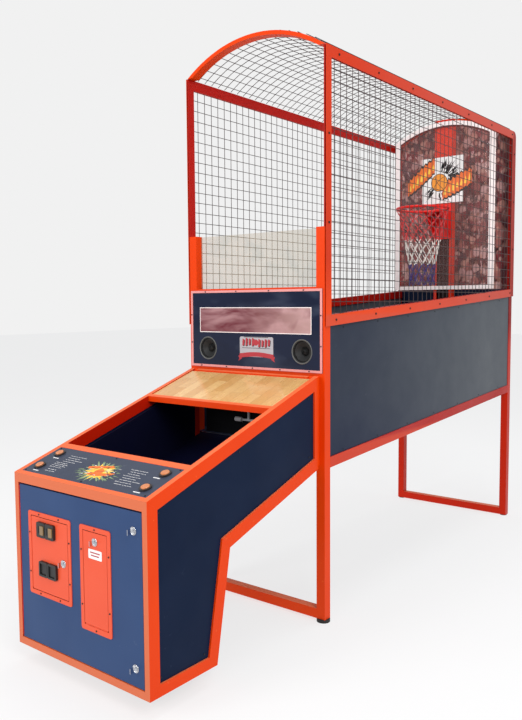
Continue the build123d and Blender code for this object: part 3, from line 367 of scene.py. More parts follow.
def net_cord():
    """Twisted cord, red at the top, white in the middle, blue below."""
    surface = Surface("net_cord", (236, 232, 226), rough=0.85, specular=0.2)
    bands = [(0.0, (96, 88, 156)), (0.04, (20, 16, 122)), (0.30, (238, 232, 226)), (0.60, (214, 26, 40))]
    surface.blend(1.0, surface.ramp(surface.between(surface.coords, "Z", 1.55, 2.07), bands, constant=True))
    surface.vary((170, 160, 150), scale=60.0, share=0.35)
    return surface.bump(900.0, 0.5, 0.0008)


def display_glass():
    """Navy back-printed glass with a slow change of depth, darker clouds and soft pale patches of painted
    reflection.
    """
    surface = Surface("display_navy", (6, 16, 44), rough=0.08, coat=0.2, coat_rough=0.02, specular=0.2)
    surface.vary((22, 33, 60), scale=3.2, share=0.6, coords=surface.stretch((1.0, 1.0, 1.8)))
    slanted = surface.stretch((1.6, 1.0, 4.0), (0, 0.5, 0))
    # Painted reflection: soft pale patches, as where the glass reflects the room's lights.
    surface.patches((2.2, 2.0, 0.5, slanted), 0.54, 0.74, 0.22, (98, 110, 130))
    surface.patches((2.8, 2.0, 0.4, slanted), 0.52, 0.7, 0.6, (6, 16, 40))
    surface.worn(0.04, 0.1)
    return surface.bump(2.0, 0.03, 0.001)


def window_glass():
    """The dark red score window, with painted reflection: paler towards its right end and in hazy pale
    patches.
    """
    surface = Surface("window_red", (98, 20, 36), rough=0.08, coat=0.4, coat_rough=0.03, specular=0.3)
    # Painted reflection: paler towards the right end and in pale patches; darker clouds besides.
    surface.fade("X", -0.05, 0.3, (226, 190, 184), 0.5)
    slanted = surface.stretch((1.4, 1.0, 4.0), (0, 0.4, 0))
    surface.patches((2.6, 3.0, 0.5, slanted), 0.46, 0.66, 0.5, (206, 164, 166))
    surface.patches((4.2, 3.0, 0.4), 0.5, 0.64, 0.7, (92, 14, 30))
    return surface.bump(3.0, 0.02, 0.0003)


def mesh_wire():
    """Dark painted wire with a little rust."""
    surface = Surface("mesh_wire", (58, 46, 46), rough=0.45, metal=0.3, specular=0.3)
    surface.vary((96, 78, 76), scale=12.0, share=0.5)
    surface.spots((110, 66, 50), scale=60.0, low=0.66, high=0.74, share=0.5)
    return surface.bump(700.0, 0.2, 0.0003)


make_camera()
make_light()
make_floor()

ORANGE = ((226, 64, 2), (216, 52, 1), (236, 118, 58))
LAMINATE = {"coat": 0.0, "peel": 800.0}
CLEAR = {"grain": 3.0, "strength": 0.02}


def enamel(name, colour, second, dust, rough=0.36, coat=0.06, specular=0.1):
    """Enamel with little gloss, as on the frames."""
    return painted(name, colour, second, dust, rough=rough, coat=coat, specular=specular)


paints = {
    "orange_paint": enamel("orange_enamel", *ORANGE),
    "cabinet_paint": enamel("cabinet_enamel", *ORANGE),
    "rear_paint": enamel("rear_enamel", *ORANGE),
    "column_paint": enamel("column_enamel", (220, 44, 2), (208, 34, 0), (226, 84, 40), 0.4, coat=0.04),
    "coral_paint": enamel("coral_enamel", (226, 68, 14), (214, 60, 12), (236, 124, 78), 0.38, coat=0.04),
    "orange_door": painted("orange_door_enamel", (226, 86, 52), (218, 72, 42), (232, 128, 96), 0.36, 0.05),
    "deep_red": painted("deep_red_enamel", (176, 18, 4), (156, 12, 2), (206, 60, 34), 0.36, specular=0.15),
    "navy_panel": painted(
        "navy_laminate", (15, 30, 56), (10, 22, 44), (50, 62, 84), rough=0.5, specular=0.08, **LAMINATE
    ),
    "door_paint": painted(
        "door_laminate", (44, 70, 112), (34, 56, 96), (76, 92, 122), 0.4, 0.03, peel=800.0, specular=0.18
    ),
    "lower_panel": painted(
        "grey_laminate", (40, 48, 64), (34, 42, 57), (84, 90, 100), rough=0.45, specular=0.2, **LAMINATE
    ),
    "panel_print": painted("panel_slate", (56, 63, 80), (50, 57, 73), (100, 106, 116), 0.4, 0.05, 700.0),
    "well_lining": painted("well_navy", (6, 8, 34), (4, 5, 22), (26, 28, 54), 0.6, 0.0, 400.0, 0.1),
    "black_steel": painted("black_enamel", (24, 24, 27), (16, 16, 18), (60, 58, 56), rough=0.42, coat=0.05),
    "gate_black": enamel("gate_black", (7, 7, 12), (5, 5, 9), (30, 28, 30), rough=0.5, coat=0.0),
    # Painted highlight: pale, plastic-like plating that stays bright in shade, as the solenoid's glint.
    "plating_glint": plastic("plating_glint", (222, 220, 222), (200, 198, 202), rough=0.3, coat=0.3),
    "red_paint": painted("rim_red", (226, 22, 14), (206, 14, 8), (236, 80, 60), rough=0.3, coat=0.15),
    "zinc": metal("zinc_plate", (176, 178, 180), (150, 150, 148), 0.35),
    "chrome": metal("chrome_plate", (222, 224, 228), (200, 202, 206), 0.1, scale=20.0, peel=120.0),
    "mesh_wire": mesh_wire(),
    "cream_plastic": plastic("bezel_black", (44, 38, 36), (30, 26, 24)),
    "button_amber": plastic("button_amber", (206, 128, 78), (182, 104, 58), rough=0.28, coat=0.3),
    "black_plastic": plastic("black_moulded", (26, 25, 25), (38, 36, 34), rough=0.42, grain=500.0),
    "amber": plastic("reject_lens", (138, 108, 62), (92, 68, 36), rough=0.22, coat=0.4),
    "pink_trim": plastic("trim_pink", (226, 150, 146), (214, 128, 126)),
    "display_navy": display_glass(),
    "clear_sheet": plastic(
        "clear_acrylic", (228, 214, 214), (214, 200, 204), rough=0.06, alpha=0.13, coat=1.0, **CLEAR
    ),
    "shield_clear": plastic(
        "shield_acrylic", (176, 158, 132), (196, 184, 160), rough=0.1, alpha=0.26, coat=0.3, **CLEAR
    ),
    "board_clear": plastic(
        "board_acrylic", (206, 156, 150), (190, 140, 134), rough=0.1, alpha=0.08, coat=0.3, **CLEAR
    ),
    "crowd_print": crowd(),
    "cone_black": plastic("speaker_paper", (26, 27, 28), (40, 40, 40), 0.7, 260.0, 0.4),
    "net_cord": net_cord(),
    "rubber": plastic("foot_rubber", (30, 28, 28), (44, 42, 40), 0.7, 240.0, 0.4),
    "ply_floor": plastic("floor_board", (58, 44, 34), (42, 30, 24), 0.7, 120.0, 0.3),
    "maple": maple(),
}
# Painted light and shade: frame sides that get less light are painted darker or duller, and sides that
# reflect the room paler. The cage's strips, rear legs and lower panels also change colour along their
# length.
LEG_TOP, POST_FOOT = 1.15, 1.32  # the rear legs' orange turns to the posts' dark red between these heights
STRIP_FRONT, STRIP_REAR = -0.4, 1.2  # the strips turn from coral to pink between these places
STRIP_END = 1.618  # the strips' rear ends are darker from here on
# Painted reflection: the cabinet's front faces are paled towards tan, as where the glossy paint reflects the
# room.
paints["cabinet_paint"].facing("Y", (204, 116, 80), 0.8, sign=-1.0, within=("Y", FRONT + 0.02, FRONT + 0.01))
# Painted shade: on the cabinet's left half, faces that look to +X are darker red, as the shaded inside wall.
paints["cabinet_paint"].facing("X", (176, 14, 4), 0.85, within=("X", 0.0, -0.2))
# Painted highlight: up-facing faces of the orange frames are paler, as where the light from above falls.
for look in ("orange_paint", "cabinet_paint", "rear_paint"):
    paints[look].facing("Z", (236, 142, 92), 0.45)
# Painted shade: the rear legs' front faces are darker red, as in the shade inside the cage.
paints["rear_paint"].facing("Y", (190, 26, 4), 0.85, sign=-1.0)
# Painted shade: the rear legs' faces that look to +X are a darker, duller red.
paints["rear_paint"].facing("X", (182, 48, 40), 0.85)
paints["rear_paint"].fade("Z", LEG_TOP, POST_FOOT, (140, 14, 6), 1.0)
rail_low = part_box("clamp_strips")[0].z
panel_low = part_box("lower_side_panel_right")[0].z
paints["coral_paint"].fade("Z", rail_low + 0.06, rail_low + 0.3, (188, 48, 20), 0.8)
paints["coral_paint"].fade("Y", STRIP_FRONT, STRIP_REAR, (196, 80, 66), 0.85)
paints["coral_paint"].fade("Y", STRIP_END, STRIP_END + 0.008, (140, 26, 22), 0.75)
paints["coral_paint"].fade("Z", rail_low + 0.06, rail_low + 0.045, (200, 78, 56), 0.6)
# Painted light: low dark-red parts are paler on faces that look to +X, towards the key light.
paints["deep_red"].facing("X", (204, 60, 30), 0.85, within=("Z", panel_low + 0.03, panel_low + 0.01))
paints["lower_panel"].fade("Z", panel_low + 0.3, panel_low, (14, 28, 56), 0.75)
paints["lower_panel"].fade("Y", -0.3, 1.3, (92, 97, 102), 0.75)
# Painted shade: the inside of the column's open channel is painted dark.
CHANNEL_SHADE = (24, 5, 6)
column_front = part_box("hoop_column")[0].y
inner = ("Y", column_front + 0.004, column_front + 0.012)
paints["column_paint"].facing("Y", CHANNEL_SHADE, 1.0, sign=-1.0, within=inner)
for sign in (1.0, -1.0):
    paints["column_paint"].facing("X", CHANNEL_SHADE, 1.0, sign=sign, within=("X", 0.0, -0.01 * sign))
# A dim reflection in the shield, a shaded edge and a plain back on the crowd panel.
paints["shield_clear"].fade("X", -0.1, 0.3, (150, 146, 118), 0.5)
paints["shield_clear"].spots((92, 100, 74), scale=7.0, low=0.5, high=0.64, share=0.5)
paints["crowd_print"].fade("X", 0.33, 0.37, (46, 8, 14), 0.72)
paints["crowd_print"].facing("Y", (96, 74, 56), 1.0)
white_ink = plastic("white_ink", (236, 234, 232), (222, 220, 220), rough=0.4)
white_border = plastic("border_white", (250, 238, 236), (244, 228, 226), rough=0.35)
emblem_ink = plastic("emblem_white", (176, 174, 180), (160, 156, 164), rough=0.35)
red_ink = plastic("red_ink", (176, 42, 52), (158, 30, 42), rough=0.35)
orange_ink = plastic("orange_ink", (232, 112, 26), (214, 78, 18), rough=0.35)
ball_ink = plastic("ball_ink", (236, 150, 34), (228, 130, 22), rough=0.35)
yellow_ink = plastic("yellow_ink", (246, 200, 70), (238, 178, 44), rough=0.35)
black_ink = plastic("black_ink", (26, 22, 22), (36, 32, 32), rough=0.4)
arch_ink = plastic("arch_brown", (96, 22, 20), (66, 12, 12), rough=0.4)
green_ink = plastic("green_ink", (136, 158, 112), (116, 140, 96), rough=0.4)
red_window = window_glass()

# Nodes whose look differs from the one of their material slot.
overrides = {
    "display_face": "display_navy",
    "shield": "shield_clear",
    "backboard": "board_clear",
    "hoop_column": "column_paint",
    "cabinet_frame": "cabinet_paint",
    # Painted shade: the hinge leaves take the dark red so the gap along the door's edge reads dark.
    "hinge_frame_leaf": "deep_red",
    "hinge_door_leaf": "deep_red",
    "rear_leg_frame": "rear_paint",
    "ball_gate": "gate_black",
    # Painted highlight: the solenoid's pale plating stands in for its glint.
    "gate_solenoid": "plating_glint",
    # Painted shade: the cage frame is in the darker red of the shade inside the cage.
    "cage_frame": "deep_red",
    "clamp_strips": "coral_paint",
    "cage_bolts": "black_steel",
    "door_screws": "black_steel",
}
for number in (1, 2, 3, 4):
    overrides[f"player_button_{number}"] = "button_amber"
for door in ("coin_door", "cash_door"):
    overrides[door] = overrides[f"{door}_frame"] = "orange_door"
for part in frame["record"]["subparts"]:
    look = overrides.get(part["node"], part["material_slot"])
    node = nodes[part["node"]]
    node.data.materials.clear()
    node.data.materials.append(paints[look].mat)


# ---------------------------------------------------------------- mesh helpers
def finish_mesh(name, bm, look, body, smooth=None):
    """Turns a bmesh into an object with a material that rides on a CAD body."""
    bmesh.ops.recalc_face_normals(bm, faces=bm.faces)
    mesh = bpy.data.meshes.new(name)
    bm.to_mesh(mesh)
    bm.free()
    piece = bpy.data.objects.new(name, mesh)
    scene.collection.objects.link(piece)
    mesh.materials.append(look.mat)
    if smooth:
        mesh.shade_smooth()
        mesh.set_sharp_from_angle(angle=math.radians(smooth))
    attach(piece, body)
    return piece


class Face:
    """A flat face of the machine that prints, labels and trim lie on: u across, v up, n outwards."""

    def __init__(self, origin, v=(0, 0, 1)):
        self.origin = Vector(origin)
        self.u = Vector((1, 0, 0))
        self.v = Vector(v)
        self.n = self.u.cross(self.v)

    def at(self, u, v, n=0.0):
        """A point u, v, n millimetres from the face's origin."""
        return self.origin + (self.u * u + self.v * v + self.n * n) * MM


def join(bm, rows, closed=True):
    """Faces between each row of points and the next, the last and the first; closed rows are loops."""
    for a, b in zip(rows, rows[1:] + rows[:1]):
        for i in range(len(a) if closed else len(a) - 1):
            j = (i + 1) % len(a)
            bm.faces.new((a[i], a[j], b[j], b[i]))


def prism(bm, face, points, low, high):
    """A flat shape from (u, v) points, between two heights above a face."""
    bottom = [bm.verts.new(face.at(u, v, low)) for u, v in points]
    top = [bm.verts.new(face.at(u, v, high)) for u, v in points]
    bm.faces.new(bottom)
    bm.faces.new(top)
    for i, (a, b) in enumerate(zip(bottom, top)):
        j = (i + 1) % len(points)
        bm.faces.new((a, bottom[j], top[j], b))


def ring(bm, face, outer, inner, low, high):
    """A closed band between two outlines with the same number of points."""
    corners = ((outer, low), (outer, high), (inner, high), (inner, low))
    join(bm, [[bm.verts.new(face.at(u, v, n)) for u, v in line] for line, n in corners])


def turns(count):
    """Angles that share out a whole turn."""
    return [2 * math.pi * k / count for k in range(count)]


def circle(u, v, radius):
    """A round outline."""
    return [(u + radius * math.cos(t), v + radius * math.sin(t)) for t in turns(40)]


def hoop(centre, across, up, radius, count):
    """Points of a circle in the plane of two directions."""
    return [centre + (across * math.cos(t) + up * math.sin(t)) * radius for t in turns(count)]


def along(start, end, t):
    """The point a share t of the way from start to end."""
    return start[0] + (end[0] - start[0]) * t, start[1] + (end[1] - start[1]) * t


def rounded(u, v, half_u, half_v, radius, steps=5):
    """A rectangle's outline with rounded corners."""
    points = []
    for quarter, (a, b) in enumerate(((1, 1), (-1, 1), (-1, -1), (1, -1))):
        corner_u, corner_v = u + a * (half_u - radius), v + b * (half_v - radius)
        for k in range(steps + 1):
            angle = (quarter + k / steps) * math.pi / 2
            points.append((corner_u + radius * math.cos(angle), corner_v + radius * math.sin(angle)))
    return points


def oblong(u, v, wide, high):
    """A rectangle's outline around its centre."""
    return [(u + a * wide / 2, v + b * high / 2) for a, b in ((-1, -1), (1, -1), (1, 1), (-1, 1))]


def spike(near, far, angle, width, middle, stretch=(1.0, 1.0)):
    """A thin triangle that points away from a middle, with its foot at a radius near and its tip at far."""
    a, b = math.cos(angle), math.sin(angle)
    foot_u, foot_v = middle[0] + near * a * stretch[0], middle[1] + near * b * stretch[1]
    tip = (middle[0] + far * a * stretch[0], middle[1] + far * b * stretch[1])
    return [(foot_u - width * b, foot_v + width * a), (foot_u + width * b, foot_v - width * a), tip]


def burst(u, v, radii, count, lean):
    """A jagged star, wider by lean, whose points differ a little in length."""
    points = []
    for k in range(2 * count):
        angle = math.pi * k / count
        radius = radii[k % 2] * draw.uniform(0.86, 1.14)
        points.append((u + lean * radius * math.cos(angle), v + radius * math.sin(angle)))
    return points


def tube(bm, points, radius, sides=6, closed=False):
    """A round cord through points."""
    loops = []
    count = len(points)
    for i, point in enumerate(points):
        before = points[i - 1] if closed or i else points[0]
        after = points[(i + 1) % count] if closed or i < count - 1 else points[-1]
        run = (after - before).normalized()
        side = run.cross(Vector((0.13, 0.29, 0.95))).normalized()
        loops.append([bm.verts.new(place) for place in hoop(point, side, run.cross(side), radius, sides)])
    pairs = list(zip(loops, loops[1:]))
    if closed:
        pairs.append((loops[-1], loops[0]))
    for a, b in pairs:
        for s in range(sides):
            t = (s + 1) % sides
            bm.faces.new((a[s], a[t], b[t], b[s]))
    if not closed:
        bm.faces.new(loops[0])
        bm.faces.new(loops[-1])


def printed(name, face, shapes, look, body="machine", slot="panel_print", low=0.08, high=0.3):
    """Flat inked shapes on a face, as one piece."""
    bm = bmesh.new()
    for shape in shapes:
        prism(bm, face, shape, low, high)
    return finish_mesh(name, bm, look, body)


# ---------------------------------------------------------------- control panel print
panel = Face((0, FRONT, PANEL_TOP), (0, math.cos(SLOPE), math.sin(SLOPE)))
draw = random.Random(4)
BUTTON_U = 312  # distance of the buttons from the middle
BUTTON_ROWS = (69, 167)  # their distances from the front face, measured level


def line_block(left, right, low, high, count, indent=0.0):
    """Bars of uneven length where the instructions would be."""
    bars = []
    for k in range(count):
        v = high - (high - low) * k / (count - 1)
        start = left + (indent if k % 3 else 0.0)
        end = right - draw.uniform(0, 0.35) * (right - left)
        while start < end - 6:
            reach = min(draw.uniform(9, 24), end - start)
            bars.append(oblong(start + reach / 2, v, reach, 1.7))
            start += reach + 3.5
    return bars


bars = line_block(-236, -128, 132, 176, 4)
bars += line_block(-262, -160, 84, 118, 4)
bars += line_block(-250, -186, 52, 66, 2)
bars += line_block(142, 262, 62, 164, 8, 10.0)
for side in (-1, 1):
    for row in BUTTON_ROWS:
        bars.append(oblong(side * (BUTTON_U - 14), row / math.cos(SLOPE) - 33, 34, 5.0))
printed("panel_lines", panel, bars, white_ink)

middle_u, middle_v = 10.0, 112.0  # of the burst
green_star = burst(middle_u, middle_v, (78, 40), 19, 1.25)
yellow_star = burst(middle_u + 4, middle_v, (56, 34), 15, 1.3)
printed("panel_burst_green", panel, [green_star], green_ink, high=0.12)
printed("panel_burst_yellow", panel, [yellow_star], yellow_ink, low=0.14, high=0.2)
shards = [
    [(-72, 132), (-20, 148), (46, 164), (60, 150), (-6, 132), (-62, 118)],
    [(-34, 82), (18, 78), (84, 98), (98, 120), (40, 106), (-24, 98)],
]
printed("panel_banner", panel, shards, orange_ink, low=0.22, high=0.3)
strokes = []
for k in range(44):
    u, v = middle_u + draw.uniform(-84, 84), middle_v + draw.uniform(-40, 44)
    turn, reach, half = draw.uniform(-0.5, 0.9), draw.uniform(7, 17), draw.uniform(1.0, 2.2)
    long_u, long_v = reach * math.cos(turn), reach * math.sin(turn)
    wide_u, wide_v = half * math.sin(turn), half * math.cos(turn)
    tips = [(u - long_u, v - long_v), (u + long_u, v + long_v)]
    sides = [(u + wide_u, v - wide_v), (u - wide_u, v + wide_v)]
    strokes.append([tips[0], sides[0], tips[1], sides[1]])
printed("panel_strokes", panel, strokes[:30], black_ink, low=0.32, high=0.36)
printed("panel_glints", panel, strokes[30:], white_ink, low=0.38, high=0.42)
ball_u, ball_v = middle_u + 2, middle_v - 2
printed("panel_ball", panel, [circle(ball_u, ball_v, 22)], orange_ink, low=0.44, high=0.5)
turn, reach, half = 0.3, 21.0, 0.8
a, b = math.cos(turn), math.sin(turn)
corners = ((1, 1), (-1, 1), (-1, -1), (1, -1))
seam = [(ball_u + p * reach * a - q * half * b, ball_v + p * reach * b + q * half * a) for p, q in corners]
printed("panel_ball_seams", panel, [seam], black_ink, low=0.52, high=0.56)
splinters = []
for k in range(26):
    angle = draw.uniform(0, 2 * math.pi)
    near, far = draw.uniform(78, 92), draw.uniform(96, 122)
    shape = spike(near, far, angle, draw.uniform(1.5, 4.0), (middle_u, middle_v), (1.1, 0.62))
    tip_u, tip_v = shape[2]
    splinters.append(shape[:2] + [(tip_u, max(min(tip_v, 190), 40))])
printed("panel_splinters", panel, splinters, green_ink)

# ---------------------------------------------------------------- ball well
WELL_END = 0.812  # height of the well's floor at its rear end
floor_face = Face((0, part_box("ball_well")[1].y, WELL_END), panel.v)
printed("well_floor_edge", floor_face, [oblong(0, -2.5, 676, 3.5)], paints["zinc"], slot="well_lining")

# ---------------------------------------------------------------- display
display = Face((0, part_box("display_face")[0].y, 0))
WINDOW_V, WINDOW_WIDE, WINDOW_HIGH = 1380.5, 675.0, 116.0
OUTLINE = 3.5  # width of the white line round the window
bm = bmesh.new()
outer = oblong(0, WINDOW_V, WINDOW_WIDE + 2 * OUTLINE, WINDOW_HIGH + 2 * OUTLINE)
ring(bm, display, outer, oblong(0, WINDOW_V, WINDOW_WIDE, WINDOW_HIGH), 0.1, 0.5)
finish_mesh("window_outline", bm, white_border, "machine")


def on_display(name, shapes, look, low, high):
    """Inked shapes on the display's glass."""
    printed(name, display, shapes, look, slot="display_navy", low=low, high=high)


pane = oblong(0, WINDOW_V, WINDOW_WIDE - 0.4, WINDOW_HIGH - 0.4)
on_display("window_pane", [pane], red_window, 0.08, 0.35)
emblem_u, emblem_v = 22.0, 1246.0  # middle of the emblem, below its plate's own middle
on_display("emblem_plate", [rounded(emblem_u, emblem_v + 8, 102, 48, 9)], emblem_ink, 0.1, 0.6)
ribbon_top = []
for k in range(-10, 11):
    ribbon_top.append((emblem_u + 10.4 * k, emblem_v - 26 + 9 * math.cos(k / 10 * math.pi / 2)))
ribbon_low = [(u, v - 21) for u, v in reversed(ribbon_top)]
on_display("emblem_ribbon", [ribbon_top + ribbon_low], red_ink, 0.62, 0.9)
tail = ((92, 1218), (112, 1208), (106, 1196), (112, 1184), (90, 1196))
tails = [[(emblem_u + side * u, v) for u, v in tail] for side in (-1, 1)]
on_display("emblem_tails", tails, red_ink, 0.1, 0.55)
stripes = []
for k in (0, 1, 2, 3, 5, 6, 7, 8):  # the ball takes the place of the fifth
    u, v = emblem_u - 80 + 19.5 * k, emblem_v + 29 + 3 * math.sin(0.8 * k)
    half = 17 + 3 * (k % 2)
    stripes.append([(u - 6, v - half), (u + 5, v - half + 3), (u + 8, v + half - 4), (u - 4, v + half)])
shades = [[(u + 4, v - 3) for u, v in stripe] for stripe in stripes]
on_display("emblem_shades", shades, black_ink, 0.62, 0.66)
on_display("emblem_stripes", stripes, red_ink, 0.7, 0.8)
on_display("emblem_ball", [circle(emblem_u - 2, emblem_v + 29, 15)], red_ink, 0.62, 0.9)
rules = [oblong(emblem_u - 2, emblem_v + 2, 170, 2.4), oblong(emblem_u - 2, emblem_v + 54, 150, 2.4)]
on_display("emblem_rules", rules, black_ink, 0.62, 0.66)

# ---------------------------------------------------------------- speakers
SPEAKER_X, SPEAKER_Z = 0.288, 1.240
speaker_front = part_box("speakers")[0].y
grille = plastic("speaker_ring", (92, 94, 92), (70, 72, 70), rough=0.5)
# Each point is a radius and a depth behind the speakers' front, in millimetres.
ring_profile = [(51.5, -3.4), (55.0, -5.2), (57.5, -3.6), (57.5, -3.1), (51.5, -3.1)]
cone_profile = [(0.5, 15.0), (8.0, 16.0), (15.0, 20.0), (19.0, 26.0)]
cone_profile += [(27.0, 20.5), (36.0, 13.0), (43.0, 6.0), (46.0, 1.5)]


def spun(bm, profile, centre):
    """Rows of points, each the profile turned a little further round a centre."""
    rows = []
    for t in turns(64):
        out, back = Vector((math.cos(t), 0, math.sin(t))) * MM, Vector((0, MM, 0))
        rows.append([bm.verts.new(centre + out * radius + back * y) for radius, y in profile])
    return rows


for side, sign in (("left", -1), ("right", 1)):
    centre = Vector((sign * SPEAKER_X, speaker_front, SPEAKER_Z))
    bm = bmesh.new()
    join(bm, spun(bm, ring_profile, centre))
    finish_mesh(f"speaker_ring_{side}", bm, grille, "machine", 35)
    bm = bmesh.new()
    rows = spun(bm, cone_profile, centre)
    join(bm, rows, closed=False)
    bm.faces.new([row[0] for row in rows])
    bmesh.ops.solidify(bm, geom=bm.faces[:], thickness=0.0006)
    finish_mesh(f"speaker_cone_{side}", bm, paints["cone_black"], "machine", 40)

# ---------------------------------------------------------------- backboard border and sign
board = Face((0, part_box("backboard")[0].y, 0))
ARCH_CENTRE = 1995.46
BOARD_HALF, BOARD_LOW, BOARD_RADIUS = 365.0, 1545.0, 680.0
SIDE_BORDER, FOOT_BORDER, TOP_BORDER = 42.0, 26.0, 28.0


def board_line(side, foot, top, steps=24):
    """The backboard's outline, moved inwards by three distances."""
    half, radius = BOARD_HALF - side, BOARD_RADIUS - top
    limit = math.asin(half / radius)
    points = [(-half, BOARD_LOW + foot), (half, BOARD_LOW + foot)]
    for k in range(steps + 1):
        angle = limit - 2 * limit * k / steps
        points.append((radius * math.sin(angle), ARCH_CENTRE + radius * math.cos(angle)))
    return points


def on_board(name, shapes, look, low, high):
    """Inked shapes on the front of the clear backboard."""
    printed(name, board, shapes, look, slot="clear_sheet", low=low, high=high)


bm = bmesh.new()
ring(bm, board, board_line(1.0, 1.0, 1.0), board_line(SIDE_BORDER, FOOT_BORDER, TOP_BORDER), 0.1, 0.6)
finish_mesh("board_border", bm, white_border, "machine")
over = board_line(SIDE_BORDER + 1, 0.0, TOP_BORDER + 1)[2:]
under = board_line(SIDE_BORDER + 1, 0.0, TOP_BORDER + 11)[2:]
on_board("board_arch_line", [over + under[::-1]], arch_ink, 0.1, 0.5)
draw = random.Random(11)
SIGN_U, SIGN_V = -4, 2285.0  # middle of the sign's plate
SIGN_WIDE, SIGN_HIGH = 300, 308
on_board("sign_plate", [oblong(SIGN_U, SIGN_V, SIGN_WIDE, SIGN_HIGH)], white_ink, 0.1, 0.5)
# Where each banner starts and ends, along its middle line.
BANNERS = (
    ((-262, 2246), (-62, 2392)),
    ((-4, 2206), (202, 2296)),
)
BANNER_HEIGHT = 96.0


def banner_edge(start, end, height, lift, teeth, reach):
    """One jagged edge of a banner that runs from start to end, lift above its middle line."""
    points = []
    for k in range(2 * teeth + 1):
        t = k / (2 * teeth)
        u, v = along(start, end, t)
        swell = 1.0 + 0.16 * math.sin(math.pi * t)
        tooth = (reach if k % 2 else -reach) * draw.uniform(0.6, 1.3)
        points.append((u, v + lift * height * swell / 2 + tooth))
    return points


def banner(start, end, height):
    """A flame-edged banner."""
    low = banner_edge(start, end, height, -1, 7, 5)
    high = banner_edge(start, end, height, 1, 7, 9)
    return low + high[::-1]


outlines, fills, flames = [], [], []
for start, end in BANNERS:
    outlines.append(banner(start, end, BANNER_HEIGHT + 20))
    fills.append(banner(start, end, BANNER_HEIGHT - 4))
    for k in range(7):
        u, v = along(start, end, (k + 0.5) / 7)
        tall = draw.uniform(24, 38)
        flame = ((-9, -0.5), (8, -0.6), (10, 0.2), (3, 1.0), (-4, 0.3))
        flames.append([(u + across, v - 10 + tall * up) for across, up in flame])
on_board("sign_banner_edge", outlines, black_ink, 0.55, 0.7)
on_board("sign_banner_back", fills, orange_ink, 0.75, 0.9)
on_board("sign_banner_flames", flames, yellow_ink, 0.95, 1.2)
ball_u, ball_v, ball_radius = -28.0, SIGN_V - 14, 56
on_board("sign_ball", [circle(ball_u, ball_v, ball_radius)], ball_ink, 1.25, 1.6)
on_board("sign_ball_edge", [circle(ball_u, ball_v, ball_radius + 4)], black_ink, 0.95, 1.22)


def ball_seam(turn, half=54, bow=10, width=3.0):
    """A bowed line across the sign's ball."""
    a, b = math.cos(turn), math.sin(turn)
    line = []
    for t in range(-half, half + 1, 9):
        bend = bow * (1 - (t / half) ** 2)
        line.append((ball_u + t * a - bend * b, ball_v + t * b + bend * a))
    return line + [(u - width * b, v + width * a) for u, v in reversed(line)]


on_board("sign_ball_seams", [ball_seam(0.75)], black_ink, 1.65, 1.75)
on_board("sign_ball_seam_cross", [ball_seam(2.2)], black_ink, 1.8, 1.9)
spikes = []
for k in range(84):
    angle = draw.uniform(0.2, 1.5) if k % 2 else draw.uniform(3.3, 5.6)
    near, far = draw.uniform(62, 110), draw.uniform(112, 178)
    shape = spike(near, far, angle, draw.uniform(3.0, 8.5), (-20, SIGN_V - 8))
    if all(abs(u - SIGN_U) < SIGN_WIDE / 2 - 4 and abs(v - SIGN_V) < SIGN_HIGH / 2 - 4 for u, v in shape):
        spikes.append(shape)
on_board("sign_spikes", spikes, black_ink, 0.52, 0.54)

# ---------------------------------------------------------------- label and lock rings
cash = Face((0, FRONT - MM, 0))
on_cash_door = {"body": "cash_door", "slot": "orange_paint"}
printed("cash_label", cash, [rounded(110, 545, 38, 18, 4)], white_ink, low=0.08, high=0.4, **on_cash_door)
marks = [oblong(110, 551, 56, 4.5), oblong(110, 540, 46, 4.5)]
printed("cash_label_marks", cash, marks, red_ink, low=0.45, high=0.55, **on_cash_door)
X, Z = Vector((1, 0, 0)), Vector((0, 0, 1))
# Name, body, x, z and how far behind the cabinet's front the lock's face lies, in millimetres.
locks = [
    ("upper_lock_ring", "service_door", 318.0, 673.0, 2.0),
    ("lower_lock_ring", "service_door", 318.0, 176.0, 2.0),
    ("coin_lock_ring", "coin_door", -80.0, 470.0, -1.0),
    ("cash_lock_ring", "cash_door", 109.0, 592.0, -1.0),
]
for name, body, x, z, face_y in locks:
    bm = bmesh.new()
    centre = Vector((x * MM, FRONT + (face_y - 1.4) * MM, z * MM))
    tube(bm, hoop(centre, X, Z, 0.0142, 40), 0.0013, 8, closed=True)
    finish_mesh(name, bm, paints["chrome"], body, 60)

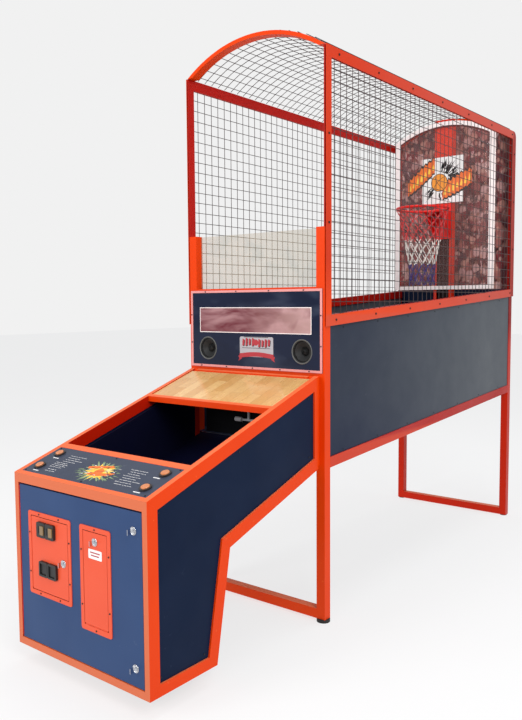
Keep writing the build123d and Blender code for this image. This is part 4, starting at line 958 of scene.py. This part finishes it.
# ---------------------------------------------------------------- net
rim_low, rim_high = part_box("hoop_net")
rim = Vector(((rim_low.x + rim_high.x) / 2, (rim_low.y + rim_high.y) / 2, 0))
net_cords = 12
# Height and radius of each row of knots.
net_rows = [
    (2.0565, 0.1590),
    (2.0210, 0.1500),
    (1.9780, 0.1400),
    (1.9330, 0.1290),
    (1.8880, 0.1180),
    (1.8430, 0.1070),
    (1.7980, 0.0980),
    (1.7530, 0.0900),
    (1.7080, 0.0850),
    (1.6630, 0.0810),
    (1.6150, 0.0790),
    (1.5700, 0.0800),
]
draw = random.Random(23)
# Each knot is moved a little outwards, round and up; the top row hangs in the hooks.
KNOT_MOVES = (0.002, 0.04, 0.004)
jitter = [[[draw.uniform(-most, most) for most in KNOT_MOVES] for k in range(net_cords)] for row in net_rows]
jitter[0] = [(0.0, 0.0, 0.0)] * net_cords


def around(angle, radius, z):
    """A point round the hoop's middle line."""
    return rim + Vector((radius * math.cos(angle), radius * math.sin(angle), z))


def net_knot(row, k):
    """The place of a knot; every second row is turned by half a mesh."""
    z, radius = net_rows[row]
    angle = 2 * math.pi * (k + 0.5 * (row % 2)) / net_cords
    out, turn, up = jitter[row][k]
    return around(angle + turn, radius + out, z + up)


bm = bmesh.new()
for row in range(len(net_rows) - 1):
    for k in range(net_cords):
        start = net_knot(row, k)
        for step in (0, 1) if row % 2 else (-1, 0):
            end = net_knot(row + 1, (k + step) % net_cords)
            middle = (start + end) / 2
            out = Vector((middle.x - rim.x, middle.y - rim.y, 0)).normalized()
            bow = middle + out * 0.004
            tube(bm, [start, (start + bow * 2) / 3, bow, (end + bow * 2) / 3, end], 0.0026, 6)
        if row:
            bmesh.ops.create_icosphere(bm, subdivisions=1, radius=0.0042, matrix=Matrix.Translation(start))
net = finish_mesh("hoop_cord_net", bm, paints["net_cord"], "machine", 50)
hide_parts("hoop_net")

bm = bmesh.new()
for angle in turns(net_cords):
    outward = Vector((math.cos(angle), math.sin(angle), 0))
    tube(bm, hoop(around(angle, 0.162, 2.0545), outward, Z, 0.0055, 14), 0.0013, 6, closed=True)
finish_mesh("net_hooks", bm, paints["red_paint"], "machine", 60)
